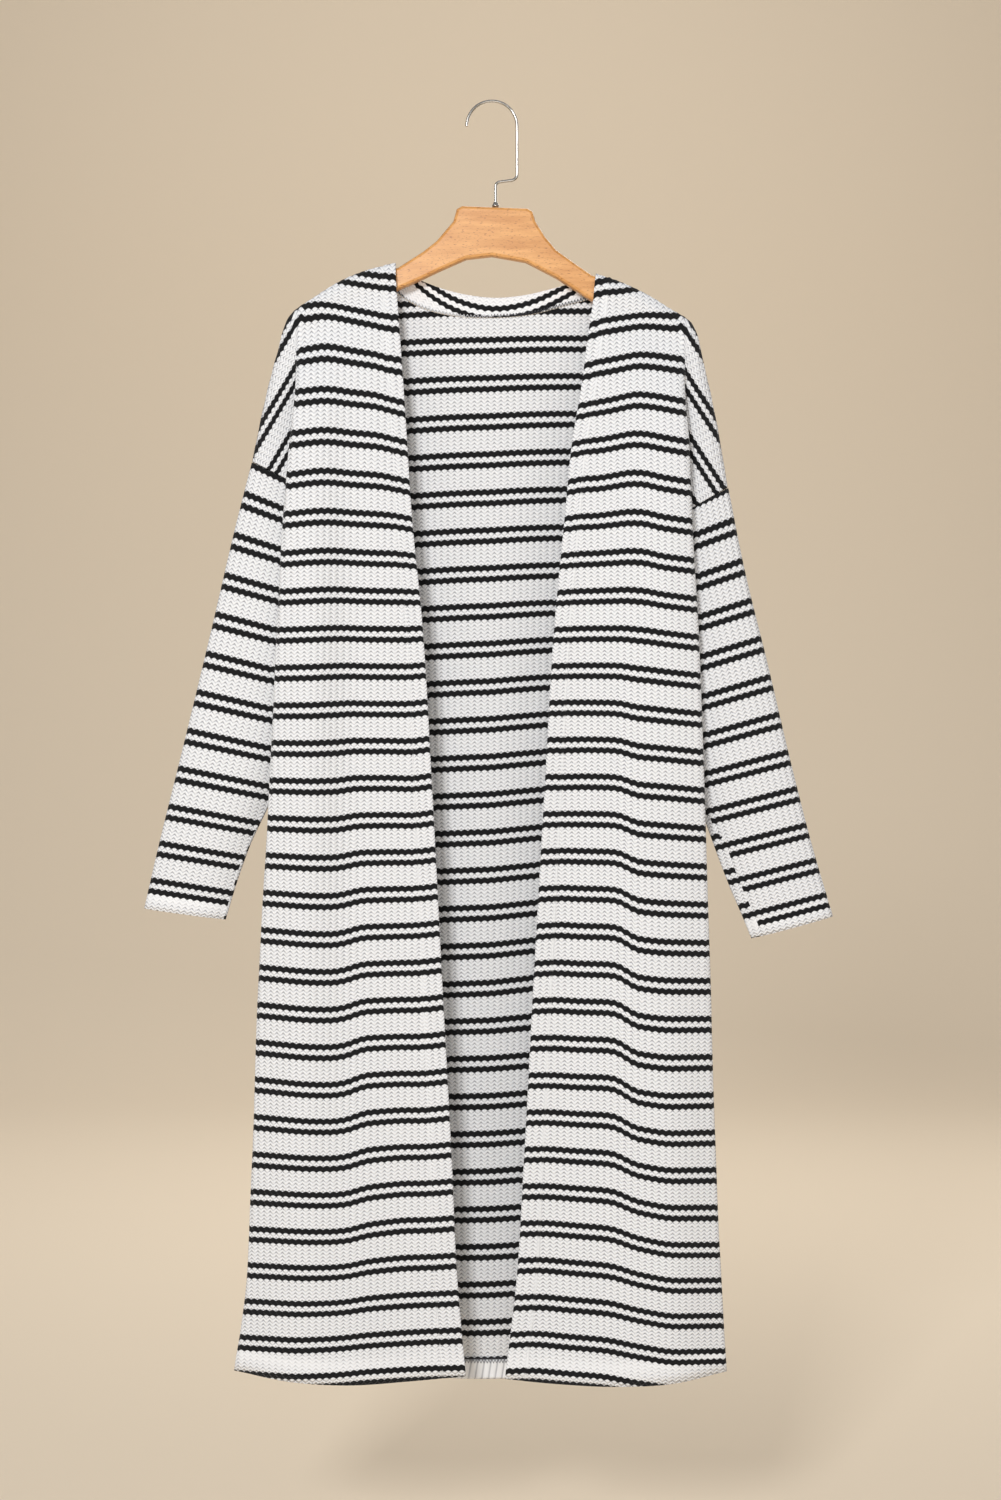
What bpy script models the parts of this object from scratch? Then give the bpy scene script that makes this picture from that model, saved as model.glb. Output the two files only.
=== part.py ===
"""A long open-front cardigan in striped rib knit, hanging on a flat wooden hanger.

Every cut and sewn piece is one wall of cloth with raised ribs outside and a plain inside.
Lengths are in millimetres until a mesh is made.  X runs to the viewer's right, Z runs up,
and the front faces -Y.  The origin is the inside top of the hook, where the hanger hangs.
"""
import math

import bmesh
import bpy
from mathutils import Vector

MM = 0.001

# Cloth
CLOTH = 1.4            # plain thickness between two ribs
RIB = 0.8              # how far a rib stands out of the cloth
FULL_RIB = 2.5         # ribs packed closer than this at a fold are pressed flatter
SEAM = 0.25            # half the gap between two sewn pieces
VALLEY_DEPTH = 0.75    # the cloth under a fold leans back by this share towards its turn
VALLEY_DROP = 0.1      # and its turn lies this share of the way down to the armhole
LEAF_GAP = 7.5         # depth between two layers of one fold
ARM_BULGE = 3.0        # how far the dropped shoulder rounds outward
ARM_CAP = (0.25, 0.6)  # where the two points of that rounding lie between shoulder and armhole
UNDERARM_LIFT = 2.0    # keeps the cloth above the armhole seam where it turns under
VALLEY_WIDTH = 7.0     # how soon the side's inner fold opens from its seam
FOLD_RADIUS = 4.0      # inside radius of a pressed fold
FOLD_START = 1.2       # how many of those radii before the fold its rounding begins
FOLD_DEEP = 12.0       # a section that lies further out than this has its side folded
UNDER_HALFWAY = 0.9    # depth of the folded side half way to its seam, as a share of the fold's
UNDER_NEAR_SEAM = 0.65  # and just before the seam
ARM_HALF_DEPTH = 12.5  # half the depth of a flat sleeve at the armhole
BLUNT = 0.8            # how a flat sleeve's top edge rounds; a smaller number is blunter
SHARP = 1.8            # and its underarm edge, which is pressed thinner

# How many ribs lie across each stretch of cloth
RIBS_FRONT = 26
RIBS_UNDER = 4
RIBS_ARM = 8
RIBS_BACK = (11, 3, 22, 3, 11)   # shoulder, neck corner, neck, neck corner, shoulder
RIBS_SLEEVE = 32
RING_STEPS = 96        # how finely a sleeve's ring is drawn before its ribs are spaced
RIBS_BAND = 44
PLAIN_FRONT = 22       # columns of the plain inside, fewer than the ribs need
PLAIN_BACK = (12, 6, 14, 6, 12)

# Hanger
WOOD_THICK = 12.0
WOOD_EDGE = 3.0
HOOK_WIRE = 1.45
FERRULE_RADIUS = 3.6
FERRULE_TALL = 4.5
FERRULE_TAPER = 0.7    # its lower radius as a share of its upper one
FERRULE_GAP = 0.3      # between the wire's foot and the ferrule

# Landmarks of each half, as x and z; the sign of x says the side
LEFT = {
    "sign": -1.0,
    "neck": (-96.0, -163.0),
    "tip": (-203.0, -217.5),
    "armhole_top": (-241.0, -364.0),
    "underarm": (-112.0, -432.0),
}
RIGHT = {
    "sign": 1.0,
    "neck": (106.0, -173.0),
    "tip": (203.0, -226.0),
    "armhole_top": (239.0, -390.0),
    "underarm": (113.0, -465.0),
}

# One row for each section across a front, from the shoulder down to the hem.
# arm: how far along the armhole the section ends, 0 at the shoulder seam and 1 at the underarm
# edge_x, edge_z: the open front edge; fold_x, fold_z: the fold at the side of the body
# y_edge to y_fold: how far each quarter of the section lies from the hanger's middle plane
# seam_x: the side seam inside the fold; sag: how far the middle of the section hangs low
QUARTERS = ((0, "y_edge"), (0.25, "y_inner"), (0.5, "y_middle"), (0.75, "y_outer"))
COLUMNS = ("arm", "edge_x", "edge_z", "fold_x", "fold_z",
           "y_edge", "y_inner", "y_middle", "y_outer", "y_fold", "seam_x", "sag")

LEFT_SECTIONS = (
    (0.00, -96, -164, -203, -217.5, -0.25, -0.25, -0.25, -0.25, -0.25, None, -10),
    (0.02, -96, -164.6, -203, -218.1, -5.5, -5.5, -5.5, -5.5, -5.5, None, -10),
    (0.05, -96, -170, -202, -224, -9, -9, -9, -9, -9, None, -10),
    (0.11, -95, -191, -196, -246, -9.5, -9.5, -9.5, -10, -11, None, -9),
    (0.28, -92, -232, -195, -287, -12, -14, -16, -20, -20, None, -4),
    (0.50, -88, -288, -199, -329, -15, -18, -21, -28, -25, None, -2),
    (0.75, -84, -349, -203, -373, -17, -21, -23, -31, -27, None, -6),
    (1.00, -80, -411, -207, -425, -19, -22, -24, -34, -28, -112, -8),
    (None, -69, -525, -213, -533, -21, -23, -25, -38, -28, -131, -4),
    (None, -59, -690, -221, -700, -23, -24, -26, -39, -28, -157, 1),
    (None, -49, -880, -232, -891, -25, -26, -28, -39, -25, -183, 5),
    (None, -39, -1065, -239, -1077, -27, -28, -33, -40, -22, -202, 8),
    (None, -33, -1190, -246, -1205, -28, -29, -36, -39, -20, -215, 7),
    (None, -25, -1280, -257, -1277, -28, -30, -38, -37, -18, -228, 8),
)

RIGHT_SECTIONS = (
    (0.00, 106, -174, 203, -226, -0.25, -0.25, -0.25, -0.25, -0.25, None, -6),
    (0.02, 106, -174.6, 203, -226.6, -5.5, -5.5, -5.5, -5.5, -5.5, None, -6),
    (0.05, 105, -180, 201, -232, -9, -9, -9, -9, -9, None, -6),
    (0.11, 103, -201, 195, -254, -9.5, -9.5, -9.5, -10, -11, None, -5),
    (0.28, 98, -234, 194, -296, -12, -14, -17, -20, -20, None, -2),
    (0.50, 91, -288, 197, -336, -15, -17, -22, -28, -25, None, -4),
    (0.75, 81, -349, 199, -383, -17, -19, -25, -31, -27, None, -6),
    (1.00, 75, -411, 201, -435, -19, -20, -28, -34, -28, 113, -6),
    (None, 64, -525, 207, -540, -21, -21, -30, -36, -28, 130, -3),
    (None, 54, -690, 213, -702, -22, -20, -33, -36, -27, 153, 2),
    (None, 43, -880, 219, -889, -25, -23, -36, -38, -25, 175, 6),
    (None, 33, -1065, 225, -1074, -27, -26, -36, -40, -22, 192, 8),
    (None, 25, -1190, 231, -1199, -28, -29, -35, -40, -20, 202, 8),
    (None, 14, -1283, 236, -1278, -28, -31, -36, -38, -18, 210, 8),
)

# Between its folds the back hangs almost flat; each row goes with the fronts' section of that row.
# middle_z is the height half way across, y_middle and y_quarter how far the cloth lies back
BACK_COLUMNS = ("middle_z", "y_middle", "y_quarter")
BACK_SECTIONS = (
    (-215, 15.5, 0.25),
    (-216, 15.5, 5.5),
    (-221, 15.8, 9),
    (-232, 16.4, 9.5),
    (-250, 17, 14),
    (-292, 18, 18),
    (-352, 20, 21),
    (-414, 22, 24),
    (-526, 24, 28),
    (-692, 25, 31),
    (-884, 27, 33),
    (-1069, 28, 34),
    (-1199, 29, 34),
    (-1299, 29, 34),
)
SHOULDER_STOPS = 3     # how many of the back's control points lie on each shoulder
CORNER_STOPS = 3       # and how many more turn the corner of the neck
NECK_SHARE = (0.0, 0.03, 0.18, 0.5)   # how far the first sections lie below the neck seam
BACK_INSET = 2.0                      # the back's folds hide just behind the fronts'

# The back neck seam and the top edge of the band above it, from the left shoulder to the right.
# y is how far the band lies behind the hanger's middle plane
BAND_COLUMNS = ("seam_x", "seam_z", "top_x", "top_z", "y")
BAND = (
    (-112, -167.3, -97, -164.2, 0.25),
    (-112, -167.9, -97, -164.8, 5.5),
    (-110, -176, -94, -167.5, 9.3),
    (-93, -193, -82, -173, 12),
    (-66, -207, -54, -184, 14),
    (-32, -214, -27, -191, 15.2),
    (4, -215, 4, -194.5, 15.5),
    (40, -212, 36, -191.5, 15.2),
    (76, -203, 64, -185, 14),
    (101, -196, 88, -179, 12),
    (118, -187, 102, -175.8, 9.3),
    (121, -179.9, 106, -174.6, 5.5),
    (121, -179.3, 106, -174, 0.25),
)
BAND_LIFT = 0.07       # the band's lower edge clears the seam by this share of its height

# Rings down each sleeve: the outer edge, the inner edge and half the depth between the layers
SLEEVE_COLUMNS = ("outer_x", "outer_z", "inner_x", "inner_z", "half_depth")
LEFT_SLEEVE = (
    (-241, -364, -117, -429.5, 12.5),
    (-256, -422, -137, -483, 12.0),
    (-283, -537, -172, -581, 11.5),
    (-312, -657, -211, -679, 11.0),
    (-336, -754, -250, -766, 10.0),
    (-350, -815, -269, -826, 9.5),
)
RIGHT_SLEEVE = (
    (239, -390, 121.5, -460, 12.5),
    (254, -465, 139, -515, 12.0),
    (279, -568, 175, -605, 11.5),
    (304, -674, 208, -699, 11.0),
    (324, -752, 233, -770, 10.0),
    (345, -823, 264, -845, 9.5),
)

# The flat hanger between the shoulders: its top edge, then its lower edge, from left to right
WOOD_TOP = (
    (-94, -168), (-69, -152), (-55, -141), (-38, -121), (-34.5, -108.5), (-29, -105.5),
    (37, -108), (42, -111), (45, -121), (55, -137), (66, -150), (84, -163), (102, -175.5),
)
WOOD_BOTTOM = (
    (150, -224), (102, -201.5), (66, -178), (35, -162), (1, -156), (-25, -159), (-51, -170.5),
    (-70, -179.5), (-97, -191.5), (-150, -215),
)
WOOD_LEFT_END = ((-188, -232), (-194, -228), (-194, -219))
WOOD_RIGHT_END = ((194, -228), (194, -237), (188, -240))
WOOD_SLACK = 2.0       # from the middle of the cloth down to the wood it rests on

# The wire hook: a half circle, down the right side, back under it and down into the wood
HOOK_RADIUS = 25.45
HOOK_CENTRE = (0.9, 1.45 - HOOK_RADIUS)
HOOK_STEPS = 16
HOOK_STEM_X = 4.6
HOOK_BENDS = (((26.35, -78.0), 6.0), ((HOOK_STEM_X, -81.0), 5.0))
HOOK_FOOT = -101.0
BEND_STEPS = 5

COLOURS = {
    "rib_knit_white": ((0.86, 0.86, 0.87), 0.9, 0.0),
    "beech": ((0.78, 0.42, 0.15), 0.45, 0.0),
    "polished_steel": ((0.62, 0.60, 0.57), 0.25, 1.0),
}


def mix(a, b, t):
    """The value or point a share t of the way from a to b."""
    return a + (b - a) * t


def section(columns, row):
    """One table row as named values."""
    return dict(zip(columns, row))


def spread(dense, marks, counts):
    """Even steps along a dense line, with the given number of steps between each two marks."""
    run = [0.0]
    for a, b in zip(dense, dense[1:]):
        run.append(run[-1] + (b - a).length)
    line = []
    j = 0
    for first, last, count in zip(marks, marks[1:], counts):
        for k in range(count):
            want = mix(run[first], run[last], k / count)
            while j < len(dense) - 2 and run[j + 1] <= want:
                j += 1
            span = run[j + 1] - run[j]
            line.append(dense[j].lerp(dense[j + 1], (want - run[j]) / span if span > 1e-9 else 0.0))
    line.append(dense[marks[-1]].copy())
    return line


def smooth_line(points, breaks, counts, steps=8):
    """Even steps along a smooth curve through the given points, stretch by stretch.

    breaks are the places in the list where one stretch of cloth ends and the next begins,
    and counts says how many steps each stretch is divided into.
    """
    dense = []
    for i in range(len(points) - 1):
        before = points[max(i - 1, 0)]
        start = points[i]
        end = points[i + 1]
        after = points[min(i + 2, len(points) - 1)]
        length = max((end - start).length, 1e-6)
        slope_in = (end - before) * (length / max(length + (start - before).length, 1e-6))
        slope_out = (after - start) * (length / max(length + (after - end).length, 1e-6))
        for k in range(steps):
            t = k / steps
            dense.append(start * (2 * t ** 3 - 3 * t ** 2 + 1) + slope_in * (t ** 3 - 2 * t ** 2 + t)
                         + end * (3 * t ** 2 - 2 * t ** 3) + slope_out * (t ** 3 - t ** 2))
    dense.append(points[-1].copy())
    return spread(dense, [steps * b for b in breaks], counts)


def normals(grid, outward, closed=False):
    """Unit vectors square to a grid of rows, turned so that they point out of the garment.

    outward is the direction that the cloth faces at the first point of the middle row.
    """
    result = []
    for r, row in enumerate(grid):
        above = grid[max(r - 1, 0)]
        below = grid[min(r + 1, len(grid) - 1)]
        n = len(row)
        line = []
        for c in range(n):
            if closed:
                along = row[(c + 1) % n] - row[c - 1]
            else:
                along = row[min(c + 1, n - 1)] - row[max(c - 1, 0)]
            line.append(along.cross(below[c] - above[c]).normalized())
        result.append(line)
    if result[len(grid) // 2][0].dot(outward) < 0:
        result = [[-v for v in line] for line in result]
    return result


def flatten(vector, plane):
    """A unit vector with its part across the plane taken out, so a seam's two walls stay apart."""
    return (vector - plane * vector.dot(plane)).normalized()


def zip_strips(bm, one, other, share_one, share_other, flip):
    """Fill between two lines of vertices that have different numbers of points."""
    i = j = 0
    while i < len(one) - 1 or j < len(other) - 1:
        one_comes_next = i < len(one) - 1 and (
            j == len(other) - 1 or share_one[i + 1] <= share_other[j + 1] + 1e-9)
        if one_comes_next:
            face = [one[i], one[i + 1], other[j]]
            i += 1
        else:
            face = [one[i], other[j + 1], other[j]]
            j += 1
        if flip:
            face.reverse()
        bm.faces.new(face)


def shares(counts):
    """Where each column lies along the stretches, so that two different divisions can be matched."""
    line = [s + k / count for s, count in enumerate(counts) for k in range(count)]
    return line + [float(len(counts))]


def cloth_wall(name, outer, inner, outer_share, inner_share, closed=False):
    """A wall of cloth: ribbed outer points, plain inner points and rims all round.

    outer and inner are each a grid of rows of points, and the normals at those points.
    """
    bm = bmesh.new()
    outside = []
    inside = []
    for row, facing in zip(*outer):
        line = []
        for c, (point, normal) in enumerate(zip(row, facing)):
            apart = (point - row[c - 1]).length
            raised = RIB * min(1.0, apart / FULL_RIB) if c % 2 else 0.0
            line.append(bm.verts.new(point + normal * (CLOTH / 2 + raised)))
        outside.append(line)
    for row, facing in zip(*inner):
        inside.append([bm.verts.new(point - normal * CLOTH / 2) for point, normal in zip(row, facing)])
    if closed:
        outside = [line + line[:1] for line in outside]
        inside = [line + line[:1] for line in inside]
    for layer, reverse in ((outside, False), (inside, True)):
        for upper, lower in zip(layer, layer[1:]):
            for c in range(len(upper) - 1):
                face = [upper[c], lower[c], lower[c + 1], upper[c + 1]]
                if not reverse:
                    face.reverse()
                bm.faces.new(face)
    zip_strips(bm, outside[0], inside[0], outer_share, inner_share, False)
    zip_strips(bm, outside[-1], inside[-1], outer_share, inner_share, True)
    if not closed:
        for r in range(len(outside) - 1):
            bm.faces.new([outside[r][0], outside[r + 1][0], inside[r + 1][0], inside[r][0]][::-1])
            bm.faces.new([outside[r][-1], outside[r + 1][-1], inside[r + 1][-1], inside[r][-1]])
    bmesh.ops.recalc_face_normals(bm, faces=bm.faces)
    return finish(name, bm, "rib_knit_white")


def finish(name, bm, colour):
    """Turn a bmesh in millimetres into an object in metres with its own material."""
    bmesh.ops.scale(bm, vec=Vector((MM, MM, MM)), verts=bm.verts)
    mesh = bpy.data.meshes.new(name)
    bm.to_mesh(mesh)
    bm.free()
    obj = bpy.data.objects.new(name, mesh)
    mesh.materials.append(paint(name + "_finish", colour))
    COLLECTION.objects.link(obj)
    return obj


def paint(name, colour):
    """A plain material with the piece's colour, roughness and metallic value."""
    base, roughness, metallic = COLOURS[colour]
    material = bpy.data.materials.new(name)
    material.use_nodes = True
    shader = material.node_tree.nodes["Principled BSDF"]
    shader.inputs["Base Color"].default_value = (*base, 1.0)
    shader.inputs["Roughness"].default_value = roughness
    shader.inputs["Metallic"].default_value = metallic
    return material


def armhole(half):
    """The top of the armhole, the underarm and the way down into the sleeve, square to that line."""
    top = Vector((half["armhole_top"][0], 0, half["armhole_top"][1]))
    under = Vector((half["underarm"][0], 0, half["underarm"][1]))
    down = (under - top).normalized().cross(Vector((0, half["sign"], 0)))
    return top, under, down


def arm_depth(share):
    """How deep the flat arm is, as a share of its greatest depth, from its top (0) to its underarm (1)."""
    fullness = 2 * math.sqrt(max(share * (1 - share), 0.0))
    return fullness ** mix(BLUNT, SHARP, max(2 * share - 1, 0.0))


def side_points(half, row, facing):
    """The folded cloth beyond the body's side fold: under the fold, then out to the armhole or seam.

    facing is -1 for a front and 1 for the back.  The list starts just past the fold, and comes
    with the place in it where the inner fold turns.
    """
    sign = half["sign"]
    fold = Vector((row["fold_x"], facing * abs(row["y_fold"]), row["fold_z"]))
    top, under, down = armhole(half)
    share = row["arm"]
    if share is None or share >= 1.0:
        seam = Vector((row["seam_x"], facing * SEAM, row["fold_z"]))
        near = Vector((row["seam_x"] + sign * VALLEY_WIDTH, 0, row["fold_z"]))
        if share:
            seam.z = under.z
            near = under.lerp(top, VALLEY_WIDTH / (under - top).length) - down * UNDERARM_LIFT
        depth = abs(fold.y) - FOLD_RADIUS
        near.y = facing * depth * UNDER_NEAR_SEAM
        points = [Vector((fold.x - sign * FOLD_RADIUS, facing * depth, fold.z)),
                  Vector((mix(fold.x, near.x, 0.5), facing * depth * UNDER_HALFWAY,
                          mix(fold.z, near.z, 0.5))),
                  near, seam]
        return points, 2
    end = top.lerp(under, share) - down * SEAM
    end.y = facing * max(ARM_HALF_DEPTH * arm_depth(share), SEAM)
    tip = Vector((half["tip"][0], 0, half["tip"][1]))
    valley = tip.lerp(under, share)
    if sign * (fold.x - valley.x) < 2 * FOLD_RADIUS:
        points = [fold.lerp(end, part) + Vector((sign * ARM_BULGE, 0, 0)) for part in ARM_CAP]
        return points + [end], 0
    under_fold = abs(fold.y) - FOLD_RADIUS
    at_valley = under_fold * VALLEY_DEPTH
    behind = min(abs(end.y), at_valley - LEAF_GAP)
    bend = (at_valley - behind) / 2
    points = [Vector((fold.x - sign * FOLD_RADIUS, facing * under_fold, fold.z)),
              Vector((valley.x + sign * bend, facing * at_valley, valley.z)),
              Vector((valley.x, facing * (behind + bend), valley.z)),
              Vector((valley.x + sign * bend, facing * behind, mix(valley.z, end.z, VALLEY_DROP)))]
    points += [end.lerp(points[-1], 0.5), end]
    return points, 2


def front_lines(half, table):
    """Control points of every section across one front, edge first."""
    lines = []
    for values in table:
        row = section(COLUMNS, values)
        sign = half["sign"]
        line = []
        for share, depth in QUARTERS:
            drop = row["sag"] * math.sin(math.pi * share)
            line.append(Vector((mix(row["edge_x"], row["fold_x"], share), row[depth],
                                mix(row["edge_z"], row["fold_z"], share) - drop)))
        fold = Vector((row["fold_x"], row["y_fold"], row["fold_z"]))
        side, turn = side_points(half, row, -1)
        if abs(row["y_fold"]) > FOLD_DEEP:
            line.append(fold + Vector((-sign * FOLD_RADIUS * FOLD_START, -FOLD_RADIUS, 0)))
        line.append(fold)
        mark = len(line) - 1
        line.extend(side)
        lines.append((line, (0, mark, mark + 1 + turn, len(line) - 1)))
    return lines


def square_up(half, grid, column):
    """Turn the edge column's normals along the armhole's and the side seam's meeting faces."""
    down = armhole(half)[2]
    for r, row in enumerate(grid):
        share = LEFT_SECTIONS[r][0]
        on_armhole = share is not None and 0 < share < 1
        row[column] = flatten(row[column], down if on_armhole else Vector((0, 1, 0)))


def front(name, half, table):
    """One front: flat from its edge to the side fold, then folded under to the seam."""
    counts_out = (2 * RIBS_FRONT, 2 * RIBS_UNDER, 2 * RIBS_ARM)
    counts_in = (PLAIN_FRONT, 2 * RIBS_UNDER, 2 * RIBS_ARM)
    grids = []
    for counts in (counts_out, counts_in):
        grid = [smooth_line(line, breaks, counts) for line, breaks in front_lines(half, table)]
        facing = normals(grid, Vector((0, -1, 0)))
        facing[0] = [flatten(n, Vector((0, 1, 0))) for n in facing[0]]
        square_up(half, facing, -1)
        grids.append((grid, facing))
    return cloth_wall(name, grids[0], grids[1], shares(counts_out), shares(counts_in))


def back_lines():
    """Control points of every section across the back, from the left seam to the right."""
    neck = [section(BAND_COLUMNS, values) for values in BAND]
    left_top = front_lines(LEFT, LEFT_SECTIONS)[0][0][:5]
    right_top = front_lines(RIGHT, RIGHT_SECTIONS)[0][0][:5]
    stations = [left_top[4], left_top[3], left_top[2]]
    stations += [Vector((n["seam_x"], n["y"], n["seam_z"])) for n in neck]
    stations += [right_top[2], right_top[3], right_top[4]]
    first = stations[0].x
    width = stations[-1].x - first
    across = [(p.x - first) / width for p in stations]
    lines = []
    for r, values in enumerate(BACK_SECTIONS):
        row = section(BACK_COLUMNS, values)
        left = section(COLUMNS, LEFT_SECTIONS[r])
        right = section(COLUMNS, RIGHT_SECTIONS[r])
        line = []
        for k, share in enumerate(across):
            dip = math.sin(math.pi * share)
            centre = 1.0 - abs(2 * share - 1) ** 2
            line.append(Vector((
                mix(left["fold_x"] + BACK_INSET, right["fold_x"] - BACK_INSET, share),
                mix(abs(left["y_fold"]) + FOLD_RADIUS, row["y_middle"], centre)
                + (row["y_quarter"] - row["y_middle"]) * math.sin(2 * math.pi * share) ** 2,
                mix(left["fold_z"], right["fold_z"], share)
                + (row["middle_z"] - mix(left["fold_z"], right["fold_z"], 0.5)) * dip)))
        lines.append(line)
    for r, part in enumerate(NECK_SHARE):
        for k, place in enumerate(stations):
            side = LEFT_SECTIONS if k < len(stations) / 2 else RIGHT_SECTIONS
            if k <= SHOULDER_STOPS or k >= len(stations) - 1 - SHOULDER_STOPS:
                fall = side[r][2] - side[0][2]
                lines[r][k] = Vector((place.x, BACK_SECTIONS[r][2], place.z + fall))
            else:
                lines[r][k] = place.lerp(lines[len(NECK_SHARE)][k], part)
                lines[r][k].y = max(lines[r][k].y, BACK_SECTIONS[r][2])
    result = []
    for r, middle in enumerate(lines):
        ends = []
        for half, table in ((LEFT, LEFT_SECTIONS), (RIGHT, RIGHT_SECTIONS)):
            row = section(COLUMNS, table[r])
            row["fold_x"] -= half["sign"] * BACK_INSET
            fold = Vector((row["fold_x"], abs(row["y_fold"]), row["fold_z"]))
            ends.append((fold, *side_points(half, row, 1)))
        (left_fold, left_side, left_turn), (right_fold, right_side, right_turn) = ends
        middle[0], middle[-1] = left_fold, right_fold
        folded = left_fold.y > FOLD_DEEP
        if folded:
            round_in = Vector((FOLD_RADIUS * FOLD_START, FOLD_RADIUS, 0))
            round_out = Vector((-FOLD_RADIUS * FOLD_START, FOLD_RADIUS, 0))
            middle = [middle[0], middle[0] + round_in, *middle[1:-1], middle[-1] + round_out, middle[-1]]
        line = left_side[::-1] + middle + right_side
        start = len(left_side)
        stop = start + len(middle) - 1
        outer = SHOULDER_STOPS + folded
        inner = outer + CORNER_STOPS
        corners = (start, start + outer, start + inner, stop - inner, stop - outer, stop)
        result.append((line, (0, start - 1 - left_turn, *corners, stop + 1 + right_turn, len(line) - 1)))
    return result


def back():
    """The back, with both halves of its shoulders."""
    arm = (2 * RIBS_ARM, 2 * RIBS_UNDER)
    counts_out = (*arm, *(2 * ribs for ribs in RIBS_BACK), *arm[::-1])
    counts_in = (*arm, *PLAIN_BACK, *arm[::-1])
    grids = []
    for counts in (counts_out, counts_in):
        grid = [smooth_line(line, breaks, counts) for line, breaks in back_lines()]
        for point in grid[0]:
            point.y = max(point.y, SEAM)
        facing = normals(grid, Vector((0, -1, 0)))
        facing[0] = [flatten(n, Vector((0, 1, 0))) if p.y < 1 else n for n, p in zip(facing[0], grid[0])]
        square_up(LEFT, facing, 0)
        square_up(RIGHT, facing, -1)
        grids.append((grid, facing))
    return cloth_wall("back", grids[0], grids[1], shares(counts_out), shares(counts_in))


def sleeve(name, half, table):
    """A flattened tube from the armhole to the open cuff."""
    down = armhole(half)[2]
    grids = []
    for ribs, steps in ((2, RIBS_SLEEVE), (1, RIBS_SLEEVE)):
        grid = []
        for r, values in enumerate(table):
            ring = section(SLEEVE_COLUMNS, values)
            outer = Vector((ring["outer_x"], 0, ring["outer_z"]))
            inner = Vector((ring["inner_x"], 0, ring["inner_z"]))
            dense = []
            for k in range(RING_STEPS):
                angle = 2 * math.pi * k / RING_STEPS
                share = (1 - math.cos(angle)) / 2
                point = outer.lerp(inner, share)
                point.y = -math.copysign(ring["half_depth"] * arm_depth(share), math.sin(angle))
                if r == 0:
                    point += down * SEAM
                dense.append(point)
            dense.append(dense[0].copy())
            grid.append(spread(dense, (0, len(dense) - 1), (ribs * steps,))[:-1])
        facing = normals(grid, Vector((half["sign"], 0, 0)), closed=True)
        facing[0] = [flatten(n, down) for n in facing[0]]
        grids.append((grid, facing))
    columns = [shares((2 * RIBS_SLEEVE,)), shares((RIBS_SLEEVE,))]
    return cloth_wall(name, *grids, *columns, closed=True)


def neckband():
    """The strip that finishes the back of the neck, from shoulder to shoulder."""
    rows = [section(BAND_COLUMNS, values) for values in BAND]
    top = [Vector((n["top_x"], n["y"], n["top_z"])) for n in rows]
    seam = [Vector((n["seam_x"], n["y"], n["seam_z"])).lerp(t, BAND_LIFT) for n, t in zip(rows, top)]
    grids = []
    for count in (2 * RIBS_BAND, RIBS_BAND):
        grid = [smooth_line(line, (0, len(line) - 1), (count,)) for line in (top, seam)]
        facing = normals(grid, Vector((0, 0, 1)))
        for line in facing:
            for c in (0, -1):
                line[c] = flatten(line[c], Vector((0, 1, 0)))
        grids.append((grid, facing))
    return cloth_wall("back_neckband", grids[0], grids[1], shares((2 * RIBS_BAND,)), shares((RIBS_BAND,)))


def under_shoulder(half, table):
    """Where the wood's top edge runs under the cloth, from the tip towards the neck."""
    line, breaks = front_lines(half, table)[0]
    points = smooth_line(line[:breaks[1] + 1], breaks[:2], (8,))[1:-1]
    return [(p.x, p.z - WOOD_SLACK) for p in reversed(points)]


def hanger_wood():
    """The flat hanger, sawn from one board, with its long edges rounded."""
    outline = under_shoulder(LEFT, LEFT_SECTIONS) + list(WOOD_TOP)
    outline += under_shoulder(RIGHT, RIGHT_SECTIONS)[::-1]
    outline += list(WOOD_RIGHT_END) + list(WOOD_BOTTOM) + list(WOOD_LEFT_END)
    bm = bmesh.new()
    face = bm.faces.new([bm.verts.new((x, -WOOD_THICK / 2, z)) for x, z in outline])
    back_face = bmesh.ops.extrude_face_region(bm, geom=[face])["geom"]
    moved = [item for item in back_face if isinstance(item, bmesh.types.BMVert)]
    bmesh.ops.translate(bm, vec=Vector((0, WOOD_THICK, 0)), verts=moved)
    bmesh.ops.recalc_face_normals(bm, faces=bm.faces)
    rims = [e for e in bm.edges if abs(e.verts[0].co.y - e.verts[1].co.y) < 1e-6]
    bmesh.ops.bevel(bm, geom=rims, offset=WOOD_EDGE, segments=2, profile=0.5, affect="EDGES",
                    offset_type="OFFSET", clamp_overlap=True, material=-1)
    return finish("hanger_wood", bm, "beech")


def rounded(before, corner, after, radius):
    """Points along an arc that takes the place of a sharp bend."""
    into = (before - corner).normalized()
    out = (after - corner).normalized()
    half_angle = into.angle(out) / 2
    reach = radius / math.tan(half_angle)
    centre = corner + (into + out).normalized() * (radius / math.sin(half_angle))
    start = corner + into * reach - centre
    end = corner + out * reach - centre
    points = []
    for k in range(BEND_STEPS + 1):
        arm = start.lerp(end, k / BEND_STEPS)
        points.append(centre + arm.normalized() * radius)
    return points


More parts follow.
